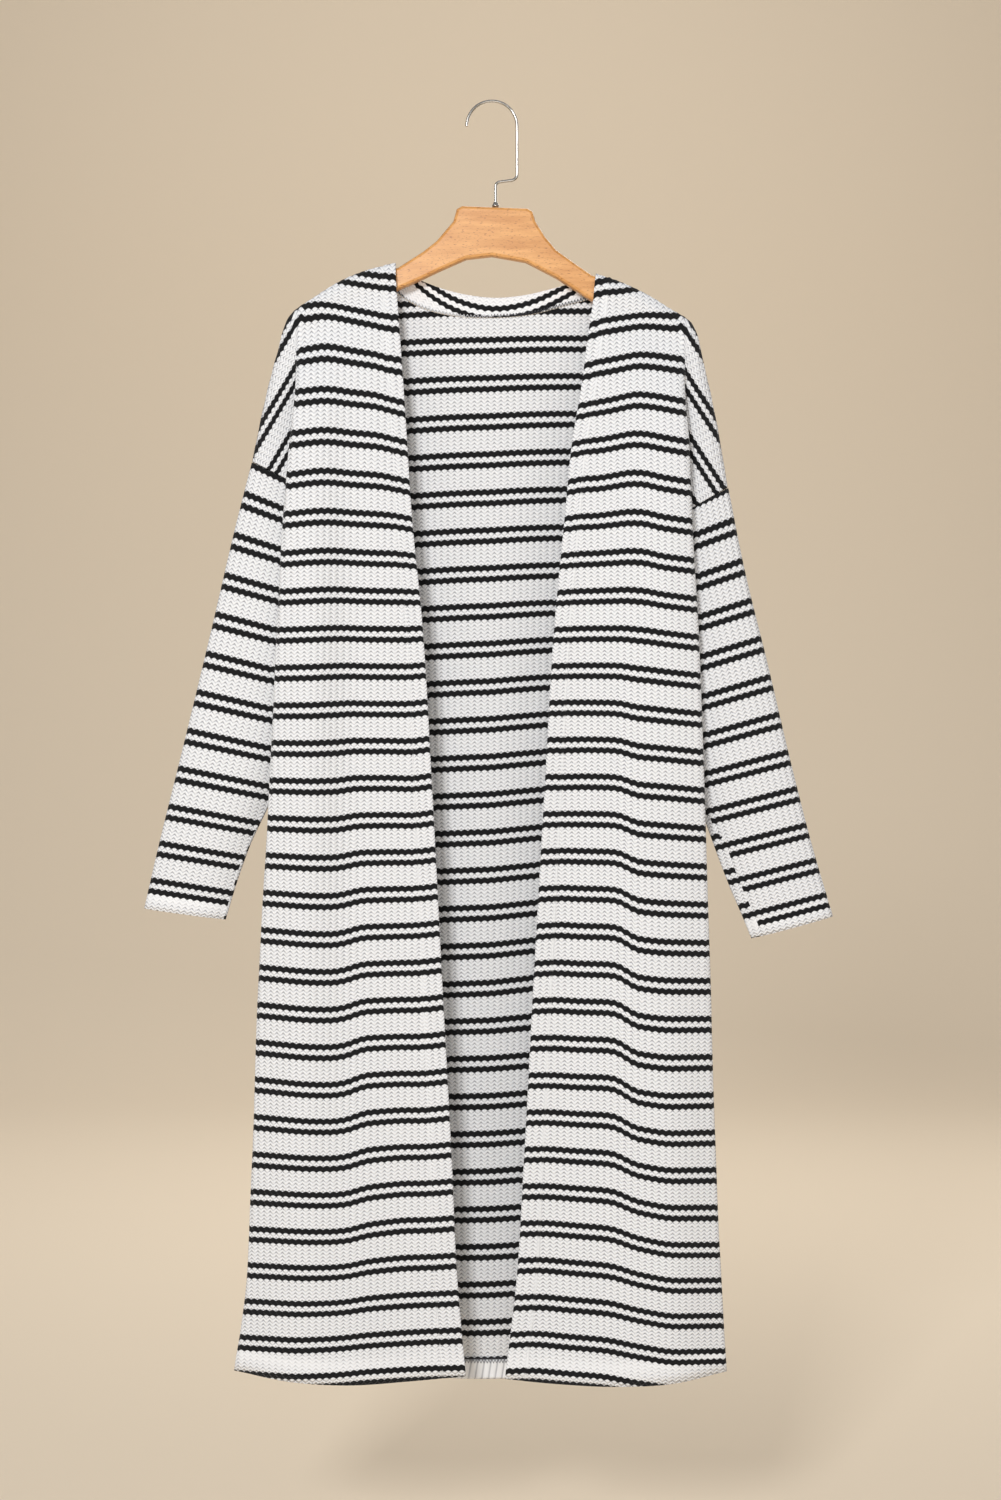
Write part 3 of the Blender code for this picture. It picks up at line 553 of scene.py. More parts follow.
def cloth_sheet(name, grid, rib, course, material, plain=None, outward=1.0, closed=False,
                thickness=CLOTH, lift=None, turned=None):
    """One sheet of rib knit from rows of points, with its rib and course numbers as a UV map.

    Where part of a sheet lies turned behind a fold, turned holds a test for the faces of that part,
    from their rows and columns, and the part's own rib and course numbers.
    """
    rows, columns = grid.shape[0] - 1, grid.shape[1] - 1
    if plain is None:
        plain = np.zeros(grid.shape[:2])
    normal = surface_normals(grid, closed) * outward
    relief = RIB_RISE * np.cos(2 * math.pi * rib) * (1 - plain)
    if lift is not None:
        relief = relief + lift
    points = grid + normal * relief[..., None]
    bm = bmesh.new()
    bmesh.ops.create_grid(bm, x_segments=columns, y_segments=rows, size=0.5)
    mesh = bpy.data.meshes.new(name)
    bm.to_mesh(mesh)
    bm.free()
    flat = np.empty(len(mesh.vertices) * 3)
    mesh.vertices.foreach_get("co", flat)
    flat = flat.reshape(-1, 3)
    column = np.rint((flat[:, 0] + 0.5) * columns).astype(int)
    row = np.rint((0.5 - flat[:, 1]) * rows).astype(int)
    mesh.vertices.foreach_set("co", (points[row, column] * MM).ravel())
    corner = np.empty(len(mesh.loops), int)
    mesh.loops.foreach_get("vertex_index", corner)
    for label, first, second in (("knit", rib, course), ("plain", plain, plain)):
        layer = mesh.uv_layers.new(name=label)
        pairs = np.stack([first[row, column], second[row, column]], axis=1)[corner]
        if turned is not None and label == "knit":
            face_column = column[corner].reshape(-1, 4).mean(axis=1)
            face_row = row[corner].reshape(-1, 4).min(axis=1)
            behind = np.repeat(turned[0](face_row, face_column), 4)
            other = np.stack([turned[1][row, column], turned[2][row, column]], axis=1)[corner]
            pairs = np.where(behind[:, None], other, pairs)
        layer.data.foreach_set("uv", pairs.astype(np.float32).ravel())
    bm = bmesh.new()
    bm.from_mesh(mesh)
    if closed:
        edge = [v for v in bm.verts if column[v.index] in (0, columns)]
        bmesh.ops.remove_doubles(bm, verts=edge, dist=1e-6)
    bm.faces.ensure_lookup_table()
    middle = bm.faces[len(bm.faces) // 2]
    sample = normal[row[middle.verts[0].index], column[middle.verts[0].index]]
    if middle.normal.dot(Vector(sample)) < 0:
        bmesh.ops.reverse_faces(bm, faces=bm.faces)
    for face in bm.faces:
        face.smooth = True
    area = sum(face.calc_area() for face in bm.faces)
    bm.to_mesh(mesh)
    bm.free()
    obj = bpy.data.objects.new(name, mesh)
    bpy.context.scene.collection.objects.link(obj)
    mesh.materials.append(material)
    solid = obj.modifiers.new("thickness of the knit", "SOLIDIFY")
    solid.thickness = thickness * MM
    solid.offset = 0.0
    print(name, rows, "x", columns, "steps, area", round(area, 4), "m2")
    return obj


# %% [markdown]
# ## Colours and materials
#
# Colours are written as sRGB hex values, as a colour picker shows them, and turned to the linear
# values that a shader works with.

# %% Helpers for materials
def linear(code):
    """A linear RGBA colour from an sRGB hex value."""
    result = []
    for k in (0, 2, 4):
        value = int(code[k:k + 2], 16) / 255
        result.append(value / 12.92 if value <= 0.04045 else ((value + 0.055) / 1.055) ** 2.4)
    return (*result, 1.0)


def add(tree, kind, links=(), **settings):
    """A node with its settings, its input values and its links."""
    node = tree.nodes.new("ShaderNode" + kind)
    for key, value in settings.items():
        if key.startswith("in_"):
            place = key[3:]
            socket = node.inputs[int(place)] if place.isdigit() else node.inputs[place.replace("_", " ")]
            socket.default_value = value
        else:
            setattr(node, key, value)
    for source, target in links:
        tree.links.new(source, node.inputs[target])
    return node


def new_material(name):
    """An empty node material with its shader."""
    material = bpy.data.materials.new(name)
    material.use_nodes = True
    tree = material.node_tree
    return material, tree, tree.nodes["Principled BSDF"]


# %% [markdown]
# ### Rib knit
#
# The real cloth is a fine rib knit in a soft viscose yarn.  Each rib shows a column of slanted
# stitches, and the stripes' edges step up and down with the ribs.  The rib valleys and the slanted
# stitches are darkened with painted shade, a grey mixed into the white.  The yarn is matt with a
# little fuzz, which a low sheen gives.  Stripe widths are in shares of the 37 mm from one pair
# to the next.

# %% Rib knit material
KNIT_WHITE = "F4F4F5"
# grey of the painted shade in the rib valleys and along the slanted stitches
KNIT_PAINTED_SHADE = "A2A2A8"
KNIT_BLACK = "141416"
STRIPE_HALF = 0.077          # half of a stripe's width
STRIPE_BLUR = 0.008          # half of the width of its edge
SECOND_STRIPE = 0.290        # from the first stripe of a pair to the second
STRIPE_WAVE = 0.019          # how far a stripe steps up on each rib
STITCHES_PER_PAIR = 10.0
STITCH_SLANT = 0.8           # a stitch rises this many stitches from a valley to a rib's crest


def rib_knit(name):
    """Striped rib knit, from the rib and course numbers in the cloth's UV map."""
    material, tree, shader = new_material(name)
    place = add(tree, "UVMap", uv_map="knit").outputs[0]
    split = add(tree, "SeparateXYZ", [(place, 0)])
    rib, course = split.outputs[0], split.outputs[1]
    plain = add(tree, "SeparateXYZ", [(add(tree, "UVMap", uv_map="plain").outputs[0], 0)]).outputs[0]
    turn = add(tree, "Math", [(rib, 0)], operation="MULTIPLY", in_1=2 * math.pi).outputs[0]
    wave = add(tree, "Math", [(turn, 0)], operation="COSINE").outputs[0]
    stepped = add(tree, "Math", [(wave, 0), (course, 2)], operation="MULTIPLY_ADD",
                  in_1=STRIPE_WAVE).outputs[0]
    masks = []
    for centre in (0.0, SECOND_STRIPE):
        moved = add(tree, "Math", [(stepped, 0)], operation="SUBTRACT", in_1=centre).outputs[0]
        near = add(tree, "Math", [(moved, 0)], operation="WRAP", in_1=0.5, in_2=-0.5).outputs[0]
        away = add(tree, "Math", [(near, 0)], operation="ABSOLUTE").outputs[0]
        masks.append(add(tree, "MapRange", [(away, 0)], interpolation_type="SMOOTHSTEP",
                         in_1=STRIPE_HALF - STRIPE_BLUR, in_2=STRIPE_HALF + STRIPE_BLUR,
                         in_3=1.0, in_4=0.0).outputs[0])
    stripe = add(tree, "Math", [(masks[0], 0), (masks[1], 1)], operation="MAXIMUM").outputs[0]
    half_rib = add(tree, "Math", [(rib, 0)], operation="PINGPONG", in_1=0.5).outputs[0]
    loops = add(tree, "Math", [(course, 0)], operation="MULTIPLY",
                in_1=STITCHES_PER_PAIR).outputs[0]
    slant = add(tree, "Math", [(half_rib, 0), (loops, 2)], operation="MULTIPLY_ADD",
                in_1=2 * STITCH_SLANT).outputs[0]
    angle = add(tree, "Math", [(slant, 0)], operation="MULTIPLY", in_1=2 * math.pi).outputs[0]
    stitch = add(tree, "Math", [(angle, 0)], operation="SINE").outputs[0]
    knitted = add(tree, "Math", [(plain, 1)], operation="SUBTRACT", in_0=1.0).outputs[0]
    # painted shade: the slanted stitch marks and the rib valleys mix grey into the white, a little more or
    # less at random
    cut = add(tree, "MapRange", [(stitch, 0)], interpolation_type="SMOOTHSTEP",
              in_1=-1.0, in_2=-0.1, in_3=1.0, in_4=0.0).outputs[0]
    low_rib = add(tree, "MapRange", [(wave, 0)], interpolation_type="SMOOTHSTEP",
                  in_1=-1.0, in_2=0.2, in_3=1.0, in_4=0.0).outputs[0]
    mark = add(tree, "Math", [(cut, 0)], operation="MULTIPLY_ADD", in_1=0.75, in_2=0.05).outputs[0]
    deep = add(tree, "Math", [(mark, 0), (low_rib, 1)], operation="MULTIPLY").outputs[0]
    shade = add(tree, "Math", [(cut, 0), (deep, 2)], operation="MULTIPLY_ADD", in_1=0.46).outputs[0]
    soft = add(tree, "Math", [(shade, 0), (knitted, 1)], operation="MULTIPLY", use_clamp=True).outputs[0]
    where = add(tree, "TexCoord").outputs["Object"]
    mottle = add(tree, "TexNoise", [(where, "Vector")], in_Scale=90.0, in_Detail=3.0).outputs["Fac"]
    painted_shade_variation = add(tree, "MapRange", [(mottle, 0)], in_1=0.3, in_2=0.7, in_3=0.85, in_4=1.0).outputs[0]
    painted_shade_amount = add(tree, "Math", [(soft, 0), (painted_shade_variation, 1)], operation="MULTIPLY").outputs[0]
    yarn = add(tree, "Mix", [(painted_shade_amount, 0)], data_type="RGBA", in_6=linear(KNIT_WHITE),
               in_7=linear(KNIT_PAINTED_SHADE)).outputs[2]
    colour = add(tree, "Mix", [(stripe, 0), (yarn, 6)], data_type="RGBA",
                 in_7=linear(KNIT_BLACK)).outputs[2]
    tree.links.new(colour, shader.inputs["Base Color"])
    relief = add(tree, "Math", [(wave, 0), (stitch, 2)], operation="MULTIPLY_ADD", in_1=0.6).outputs[0]
    fuzz = add(tree, "TexNoise", [(where, "Vector")], in_Scale=1400.0, in_Detail=2.0).outputs["Fac"]
    height = add(tree, "Math", [(fuzz, 0), (relief, 2)], operation="MULTIPLY_ADD", in_1=0.8).outputs[0]
    level = add(tree, "Math", [(height, 0), (knitted, 1)], operation="MULTIPLY").outputs[0]
    bump = add(tree, "Bump", [(level, "Height")], in_Strength=0.7, in_Distance=0.0004)
    tree.links.new(bump.outputs[0], shader.inputs["Normal"])
    shader.inputs["Roughness"].default_value = 0.92
    shader.inputs["Specular IOR Level"].default_value = 0.25
    shader.inputs["Sheen Weight"].default_value = 0.12
    shader.inputs["Sheen Roughness"].default_value = 0.5
    return material


knit = rib_knit("striped rib knit in viscose")
print("made", knit.name)

# %% [markdown]
# ## The two fronts
#
# Each front is one sheet.  A strip along its open edge is turned under and stitched down, so the
# ribs there run along the edge, the strip stands a little proud, and a line of stitches sinks
# into the cloth beside it.  The hem is stitched flat in the same way.

# %% Fronts
FRONT_COLUMNS = (240, 36, 70)
FRONT_ROWS = 122
RIB_START = 150.0
HEM_STITCH = 13.0
BEND = (184.0, 197.0)        # above the fold the stripes turn down between these widths
FOLD_TOP = (3.0, 3.3)        # the sections where the fold starts
FOLD_END = 7.4               # and the one where the dropped shoulder ends
FOLD_STEPS = 2
FACING = {-1.0: (13.0, 23.0), 1.0: (13.0, 20.0)}    # the facing's width at the neck and at the hem


def behind_fold(place, past):
    """Whether a face lies on the dropped shoulder, from its section and its steps past the fold."""
    return (past > FOLD_STEPS) & (place < FOLD_END)


def stitched_hem(grid):
    """How far each point is from the hem's row of stitches, and how plain the knit is there."""
    to_stitches = np.linalg.norm(grid - grid[-1:], axis=2) - HEM_STITCH
    return np.exp(-(to_stitches / 1.2) ** 2), 0.75 * np.exp(-((to_stitches - 3) / 6.0) ** 4)


def make_front(name, half, table, courses):
    """One front, from its open edge over the side fold to the armhole."""
    lines = front_lines(half, table)
    sections = np.array([smooth_line(line, breaks, FRONT_COLUMNS) for line, breaks in lines])
    grid, rows = between_sections(sections, FRONT_ROWS)
    sign = half["sign"]
    flat = FRONT_COLUMNS[0]
    x, z = seen(grid)
    edge_x = x[:, :1]
    fold_x = x[:, flat:flat + 1]
    share = np.clip((x - edge_x) / (fold_x - edge_x), 0.0, 1.0)
    column = np.arange(grid.shape[1])[None, :]
    share = np.where(column > flat, 1.0, share)
    body = front_course(courses, share, z)
    over = smoothstep(*BEND, np.abs(x)) * (1 - smoothstep(*FOLD_TOP, rows))[:, None]
    arm_numbers = arm_course(half, x, z)
    course = mix(body, arm_numbers, over)

    step = np.linalg.norm(np.diff(grid[..., :2], axis=1), axis=2)
    run = np.concatenate([np.zeros((grid.shape[0], 1)), np.cumsum(step, axis=1)], axis=1)
    inward = [(sign * line[:flat + 1, 0], run[r, :flat + 1]) for r, line in enumerate(grid)]
    begin = np.array([np.interp(RIB_START, place, along) for place, along in inward])[:, None]
    rib = (run - begin) / RIB_PITCH
    arm_ribs = arm_rib(half, x, z)
    turned = (lambda r, c: behind_fold(rows[r.astype(int)], c - flat), arm_ribs, arm_numbers)

    down = np.clip(-(z - z[0, 0]) / (z[0, 0] - z[-1, 0]), 0.0, 1.0)
    facing = mix(FACING[sign][0], FACING[sign][1], down)
    in_facing = 1 - smoothstep(facing - 0.8, facing + 0.8, run)
    rib = mix(rib, run / RIB_PITCH + 0.5, in_facing)
    groove = np.exp(-((run - facing) / 1.1) ** 2)
    hem_line, hem_plain = stitched_hem(grid)
    plain = np.clip(groove + hem_plain, 0.0, 0.95)
    lift = 0.45 * in_facing - 0.7 * groove - 0.4 * hem_line
    lift = lift * smoothstep(0, 6, rows * 10)[:, None]
    return cloth_sheet(name, grid, rib, course, knit, plain, outward=1.0, lift=lift, turned=turned)


for name, node, half, table, courses in (
        ("front_left_knit", "front_left", LEFT, LEFT_SECTIONS, LEFT_COURSES),
        ("front_right_knit", "front_right", RIGHT, RIGHT_SECTIONS, RIGHT_COURSES)):
    piece = make_front(name, half, table, courses)
    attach(piece, "root")
    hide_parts(node)

# %% [markdown]
# ## The back
#
# The back is one sheet from side seam to side seam.  Between the fronts it is seen from inside,
# where its stripes run almost level.

# %% Back
BACK_COLUMNS_WIDE = (44, 24, 60, 20, 140, 20, 60, 24, 44)
BACK_ROWS = 100
BACK_FIRST = -236.1
BACK_PITCH = 38.64
BACK_TILT = ((-1250, 0.035), (-1100, 0.045), (-950, 0.055), (-900, 0.080), (-800, 0.072), (-620, 0.075),
             (-500, 0.060), (-330, 0.052), (-240, 0.034))
TILT_SIDES = (1.37, 0.55)        # how much of the slope the right and the left half have
SEEN_HALF = 90.0                 # half of what shows of the back between the fronts, at the top
SHOULDER_LIFT = 9.0
DROP_FROM = (-800.0, -480.0)     # above these heights the back's stripes hang a little, most at the sides
DROP = (1.2, 0.8, 2.4)           # by this much at the middle, and by these on the way to either side


def back_course(grid):
    """Course numbers across the back, lifted towards the shoulders in its upper part."""
    x, z = grid[..., 0], grid[..., 2]
    fade = smoothstep(-1250.0, -250.0, z)
    rise = SHOULDER_LIFT * np.sin(math.pi * np.clip((np.abs(x) - 100) / 130, 0, 1)) * fade
    heights, slopes = zip(*BACK_TILT)
    place = np.clip(x / SEEN_HALF, -1, 1)
    tilt = np.interp(z, heights, slopes) * np.where(x > 0, *TILT_SIDES) * place * SEEN_HALF
    hang = np.interp(z, DROP_FROM, (0.0, 1.0)) * (DROP[0] + DROP[1] * place + DROP[2] * place ** 2)
    return (BACK_FIRST - (z - rise - tilt + hang)) / BACK_PITCH


def make_back():
    """The back, with both halves of its dropped shoulders."""
    sections = np.array([smooth_line(line, breaks, BACK_COLUMNS_WIDE) for line, breaks in back_lines()])
    sections[0, :, 1] = np.maximum(sections[0, :, 1], SEAM)
    grid, rows = between_sections(sections, BACK_ROWS)
    x, z = seen(grid)
    marks = np.cumsum((0,) + BACK_COLUMNS_WIDE)
    column = np.arange(grid.shape[1])[None, :]
    course = back_course(grid)
    step = np.linalg.norm(np.diff(grid[..., :2], axis=1), axis=2)
    run = np.concatenate([np.zeros((grid.shape[0], 1)), np.cumsum(step, axis=1)], axis=1)
    centre = np.array([np.interp(0.0, line[marks[2]:marks[-3] + 1, 0], run[r, marks[2]:marks[-3] + 1])
                       for r, line in enumerate(grid)])[:, None]
    rib = (run - centre) / RIB_PITCH
    arm_numbers, arm_ribs = course, rib
    for half, first in ((LEFT, marks[2]), (RIGHT, marks[-3])):
        outer = (column - first) * half["sign"] > -20
        over = smoothstep(*BEND, np.abs(x)) * outer * (1 - smoothstep(*FOLD_TOP, rows))[:, None]
        arm_numbers = np.where(outer, arm_course(half, x, z), arm_numbers)
        arm_ribs = np.where(outer, arm_rib(half, x, z), arm_ribs)
        course = mix(course, arm_course(half, x, z), over)
    turned = (lambda r, c: (behind_fold(rows[r.astype(int)], marks[2] - c)
                            | behind_fold(rows[r.astype(int)], c - marks[-3])), arm_ribs, arm_numbers)
    hem_line, plain = stitched_hem(grid)
    piece = cloth_sheet("back_knit", grid, rib, course, knit, plain, outward=-1.0, lift=-0.4 * hem_line,
                        turned=turned)
    return piece, grid


back_piece, back_grid = make_back()
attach(back_piece, "root")
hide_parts("back")

# %% [markdown]
# Inside the hem, the turned-up edge of the back shows between the fronts: a white strip whose
# raw edge is overlocked.

# %% Turned-up hem of the back
HEM_TURN = 19.0
HEM_ROWS = 10
hem_sections = []
for k in range(HEM_ROWS + 1):
    want = HEM_TURN * (1 - k / HEM_ROWS) + 1.0
    lines = []
    for c in range(60, back_grid.shape[1] - 60, 2):
        column_line = back_grid[:, c]
        away = np.linalg.norm(column_line - column_line[-1], axis=1)[::-1]
        lines.append([np.interp(want, away, column_line[::-1, axis]) for axis in range(3)])
    hem_sections.append(lines)
hem_grid = np.array(hem_sections)
hem_grid[..., 1] -= CLOTH * 0.5 + RIB_RISE + 0.9
hem_step = np.linalg.norm(np.diff(hem_grid[..., :2], axis=1), axis=2)
hem_rib = np.cumsum(np.concatenate([np.zeros((HEM_ROWS + 1, 1)), hem_step], axis=1), axis=1) / RIB_PITCH
hem_course = np.full(hem_rib.shape, 0.6)
hem_plain = np.full(hem_rib.shape, 0.45)
hem_piece = cloth_sheet("back_hem_turn", hem_grid, hem_rib, hem_course, knit, hem_plain,
                        outward=1.0, thickness=0.9)
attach(hem_piece, "root")

# %% [markdown]
# ## The sleeves
#
# Each sleeve is a flattened tube whose ribs run along its outer edge.  The stripes slope down
# towards the body near the armhole and level out at the cuff.  The first stripe is cut by the
# armhole seam and shows there as a thin black line.

# %% Sleeve courses
SLEEVE_COURSE_COLUMNS = ("pair", "outer_x", "outer_z", "slope")
LEFT_SLEEVE_COURSES = (
    (-1, -240, -356.5, 27.8),
    (0, -244, -399.5, 21.5),
    (1, -254.5, -440.5, 17.5),
    (2, -264.5, -480.5, 15.7),
    (4, -284.5, -558.5, 13.7),
    (6, -303, -635.5, 12.3),
    (8, -321.5, -711.5, 10.5),
    (10, -340.5, -785, 8.9),
    (11, -349, -821, 8.0),
)
RIGHT_SLEEVE_COURSES = (
    (-1, 238, -380, 28.0),
    (0, 242.3, -425.6, 20.5),
    (1, 251, -466, 19.0),
    (2, 260.6, -505.5, 17.5),
    (4, 279.7, -581.8, 16.2),
    (6, 296.9, -657.2, 14.6),
    (8, 315.1, -730.2, 13.8),
    (10, 335.1, -799.8, 14.5),
    (11, 343, -835, 14.3),
)
SLEEVE_COLUMNS_ROUND = 220
STRIP_FROM = (-700.0, -750.0)    # heights between which the underarm seam turns to the front
STRIP_SHIFT = 0.28               # the stripes past that seam sit this share of a pair higher
SLEEVE_ROWS = 90
RING_STEPS = 96


def sleeve_course(table, sign, x, z):
    """Course numbers on a sleeve, from stripes of a known slope."""
    rows = [section(SLEEVE_COURSE_COLUMNS, values) for values in table]
    numbers = np.array([row["pair"] for row in rows], float)
    levels = np.array([row["outer_z"] + (x - row["outer_x"]) * sign * math.tan(math.radians(row["slope"]))
                       for row in rows])
    return look_up(numbers, levels, z)


def make_sleeve(name, half, table, courses):
    """A flattened tube from the armhole to the open cuff."""
    down = armhole(half)[2]
    sections = []
    for r, values in enumerate(table):
        ring = section(SLEEVE_COLUMNS, values)
        outer = Vector((ring["outer_x"], 0, ring["outer_z"]))
        inner = Vector((ring["inner_x"], 0, ring["inner_z"]))
        dense = []
        for k in range(RING_STEPS):
            angle = 2 * math.pi * k / RING_STEPS
            share = (1 - math.cos(angle)) / 2
            point = outer.lerp(inner, share)
            point.y = -math.copysign(ring["half_depth"] * arm_depth(share), math.sin(angle))
            if r == 0:
                point += down * ARM_SEAM
            dense.append(point)
        dense.append(dense[0].copy())
        sections.append(spread(dense, (0, RING_STEPS), (SLEEVE_COLUMNS_ROUND,)))
    grid, rows = between_sections(np.array(sections), SLEEVE_ROWS)
    x, z = seen(grid)
    course = sleeve_course(courses, half["sign"], x, z)
    step = np.linalg.norm(np.diff(grid, axis=1), axis=2)
    run = np.concatenate([np.zeros((grid.shape[0], 1)), np.cumsum(step, axis=1)], axis=1)
    whole = run[:, -1:]
    rib = np.minimum(run, whole - run) / RIB_PITCH
    to_cuff = np.linalg.norm(grid - grid[-1:], axis=2)
    plain = np.clip(0.7 * np.exp(-((to_cuff - 14) / 5.0) ** 4), 0.0, 0.9)
    strip = half["strip"] * smoothstep(*STRIP_FROM, z)
    seam = whole / 2 - strip
    lift = -0.35 * np.exp(-((to_cuff - 14) / 1.0) ** 2) - 0.6 * np.exp(-((run - seam) / 1.2) ** 2)
    in_strip = (run > seam) & (run < whole / 2)
    turned = (lambda r, c: in_strip[r.astype(int), c.astype(int)], rib, course + STRIP_SHIFT)
    return cloth_sheet(name, grid, rib, course, knit, plain, outward=1.0, closed=True, lift=lift,
                       turned=turned)


for name, node, half, table, courses in (
        ("sleeve_left_knit", "sleeve_left", LEFT, LEFT_SLEEVE, LEFT_SLEEVE_COURSES),
        ("sleeve_right_knit", "sleeve_right", RIGHT, RIGHT_SLEEVE, RIGHT_SLEEVE_COURSES)):
    piece = make_sleeve(name, half, table, courses)
    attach(piece, "root")
    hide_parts(node)

# %% [markdown]
# ## The neckband
#
# A narrow strip of the same knit finishes the back of the neck.  Its ribs stand upright, and one
# pair of stripes runs along it: the lower stripe sinks into the seam at the middle.

# %% Neckband
BAND_COLUMNS_LONG = 300
BAND_ROWS = 16
BAND_STRIPE = 11.2               # from the band's top edge to its upper stripe, at the middle
BAND_REACH = (66.0, 80.0)        # from the middle to where that stripe meets the top edge, left and right
BAND_SCALE = 36.0
band_rows = [section(BAND_COLUMNS, values) for values in BAND]
band_top = [Vector((n["top_x"], n["y"], n["top_z"])) for n in band_rows]
band_seam = [Vector((n["seam_x"], n["y"], n["seam_z"])) for n in band_rows]
band_lines = [smooth_line(line, (0, len(line) - 1), (BAND_COLUMNS_LONG,)) for line in (band_top, band_seam)]
band_share = np.linspace(0.0, 0.97, BAND_ROWS + 1)[:, None, None]
band_grid = band_lines[0][None] * (1 - band_share) + band_lines[1][None] * band_share
band_step = np.linalg.norm(np.diff(band_lines[0], axis=0), axis=1)
band_run = np.concatenate([[0.0], np.cumsum(band_step)])
band_rib = np.repeat((band_run / RIB_PITCH)[None], BAND_ROWS + 1, axis=0)
band_down = np.linalg.norm(band_grid - band_grid[:1], axis=2)
band_x = band_grid[..., 0] - 2.0
band_place = band_x / np.where(band_x < 0, BAND_REACH[0], BAND_REACH[1])
band_course = (band_down - BAND_STRIPE * (1 - band_place ** 2)) / BAND_SCALE
band_piece = cloth_sheet("neckband_knit", band_grid, band_rib, band_course, knit,
                         np.full(band_rib.shape, 0.6), outward=-1.0)
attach(band_piece, "root")
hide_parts("back_neckband")

# %% [markdown]
# ## Overlock stitches
#
# The inside of the neck seam and the edge of the turned-up hem are overlocked.  The stitches are
# one thin thread that zigzags over the edge: a curve with a round section is enough.

# %% Overlock threads
THREAD = 0.35


def mottled(name, scale, first, second, roughness, detail=2.0):
    """A material whose colour wanders a little between two."""
    material, tree, shader = new_material(name)
    where = add(tree, "TexCoord").outputs["Object"]
    noise = add(tree, "TexNoise", [(where, "Vector")], in_Scale=scale, in_Detail=detail).outputs["Fac"]
    colour = add(tree, "Mix", [(noise, 0)], data_type="RGBA", in_6=linear(first),
                 in_7=linear(second)).outputs[2]
    tree.links.new(colour, shader.inputs["Base Color"])
    shader.inputs["Roughness"].default_value = roughness
    return material, shader


thread_dark = mottled("black polyester sewing thread", 600.0, "26262A", "4A4A50", 0.7)[0]
thread_grey = mottled("grey polyester sewing thread", 600.0, "6E6E74", "96969C", 0.7)[0]
thread_pale = mottled("white polyester sewing thread", 600.0, "A6A6AA", "D8D8DA", 0.7)[0]


def thread(name, points, material, radius=THREAD):
    """A thin thread along a line of points."""
    curve = bpy.data.curves.new(name, "CURVE")
    curve.dimensions = "3D"
    curve.bevel_depth = radius * MM
    curve.bevel_resolution = 1
    spline = curve.splines.new("POLY")
    spline.points.add(len(points) - 1)
    for spot, place in zip(spline.points, points):
        spot.co = (*(place[k] * MM for k in range(3)), 1.0)
    curve.materials.append(material)
    obj = bpy.data.objects.new(name, curve)
    bpy.context.scene.collection.objects.link(obj)
    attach(obj, "root")
    return obj


def zigzag(low, high, step):
    """Points that go to and fro between two lines, a step further along each time."""
    along = np.concatenate([[0.0], np.cumsum(np.linalg.norm(np.diff(low, axis=0), axis=1))])
    stops = np.arange(0.0, along[-1], step)
    corners = []
    for k, stop in enumerate(stops):
        line = low if k % 2 else high
        corners.append(np.array([np.interp(stop, along, line[:, axis]) for axis in range(3)]))
    result = []
    for start, end in zip(corners, corners[1:]):
        for part in (0.0, 0.2, 0.8):
            result.append(start + part * (end - start))
    return result


seam_line = band_lines[1].copy()
seam_line[:, 1] -= 1.9
for name, first, last, rise, step, material in (
        ("neck_overlock", 150, 292, 3.6, 1.6, thread_dark),
        ("neck_overlock_left", 20, 150, 3.0, 1.8, thread_pale)):
    stretch = seam_line[first:last]
    thread(name, zigzag(stretch - (0, 0, 0.5), stretch + (0, 0, rise), step), material)
hem_edge = hem_grid[0, 40:-40].copy()
hem_edge[:, 1] -= 1.1
thread("hem_overlock", zigzag(hem_edge - (0, 0, 3.4), hem_edge + (0, 0, 0.6), 1.6), thread_grey)
thread("hem_overlock_edge", hem_edge + (0, 0, 1.6), thread_dark, 0.5)
print("neck seam", len(seam_line), "points, hem edge", len(hem_edge), "points")

# %% [markdown]
# ## The hanger
#
# The hanger is sawn from a beech board, sanded and lacquered.  Beech shows short dark flecks
# along the grain and a faint, even figure.  The solid of the frame already has its true shape,
# so it stays and only gets its finish.

# %% Beech
beech, beech_tree, beech_shader = new_material("lacquered beech")
spot = add(beech_tree, "TexCoord").outputs["Object"]
stretched = add(beech_tree, "Mapping", [(spot, 0)], in_Scale=(18.0, 60.0, 150.0)).outputs[0]
figure = add(beech_tree, "TexNoise", [(stretched, "Vector")], in_Scale=1.0, in_Detail=5.0,
             in_Roughness=0.55).outputs["Fac"]
tone = add(beech_tree, "MapRange", [(figure, 0)], in_1=0.35, in_2=0.68, in_3=0.0, in_4=1.0).outputs[0]
wood_colour = add(beech_tree, "Mix", [(tone, 0)], data_type="RGBA", in_6=linear("E5A862"),
                  in_7=linear("CB8A45")).outputs[2]
fleck_place = add(beech_tree, "Mapping", [(spot, 0)], in_Scale=(260.0, 500.0, 1100.0)).outputs[0]
fleck = add(beech_tree, "TexNoise", [(fleck_place, "Vector")], in_Scale=1.0, in_Detail=1.0).outputs["Fac"]
fleck_mask = add(beech_tree, "MapRange", [(fleck, 0)], interpolation_type="SMOOTHSTEP",
                 in_1=0.60, in_2=0.70, in_3=0.0, in_4=0.8).outputs[0]
final_wood = add(beech_tree, "Mix", [(fleck_mask, 0), (wood_colour, 6)], data_type="RGBA",
                 in_7=linear("9A5A26")).outputs[2]
beech_tree.links.new(final_wood, beech_shader.inputs["Base Color"])
wood_bump = add(beech_tree, "Bump", [(figure, "Height")], in_Strength=0.15, in_Distance=0.0003)
beech_tree.links.new(wood_bump.outputs[0], beech_shader.inputs["Normal"])
beech_shader.inputs["Roughness"].default_value = 0.42
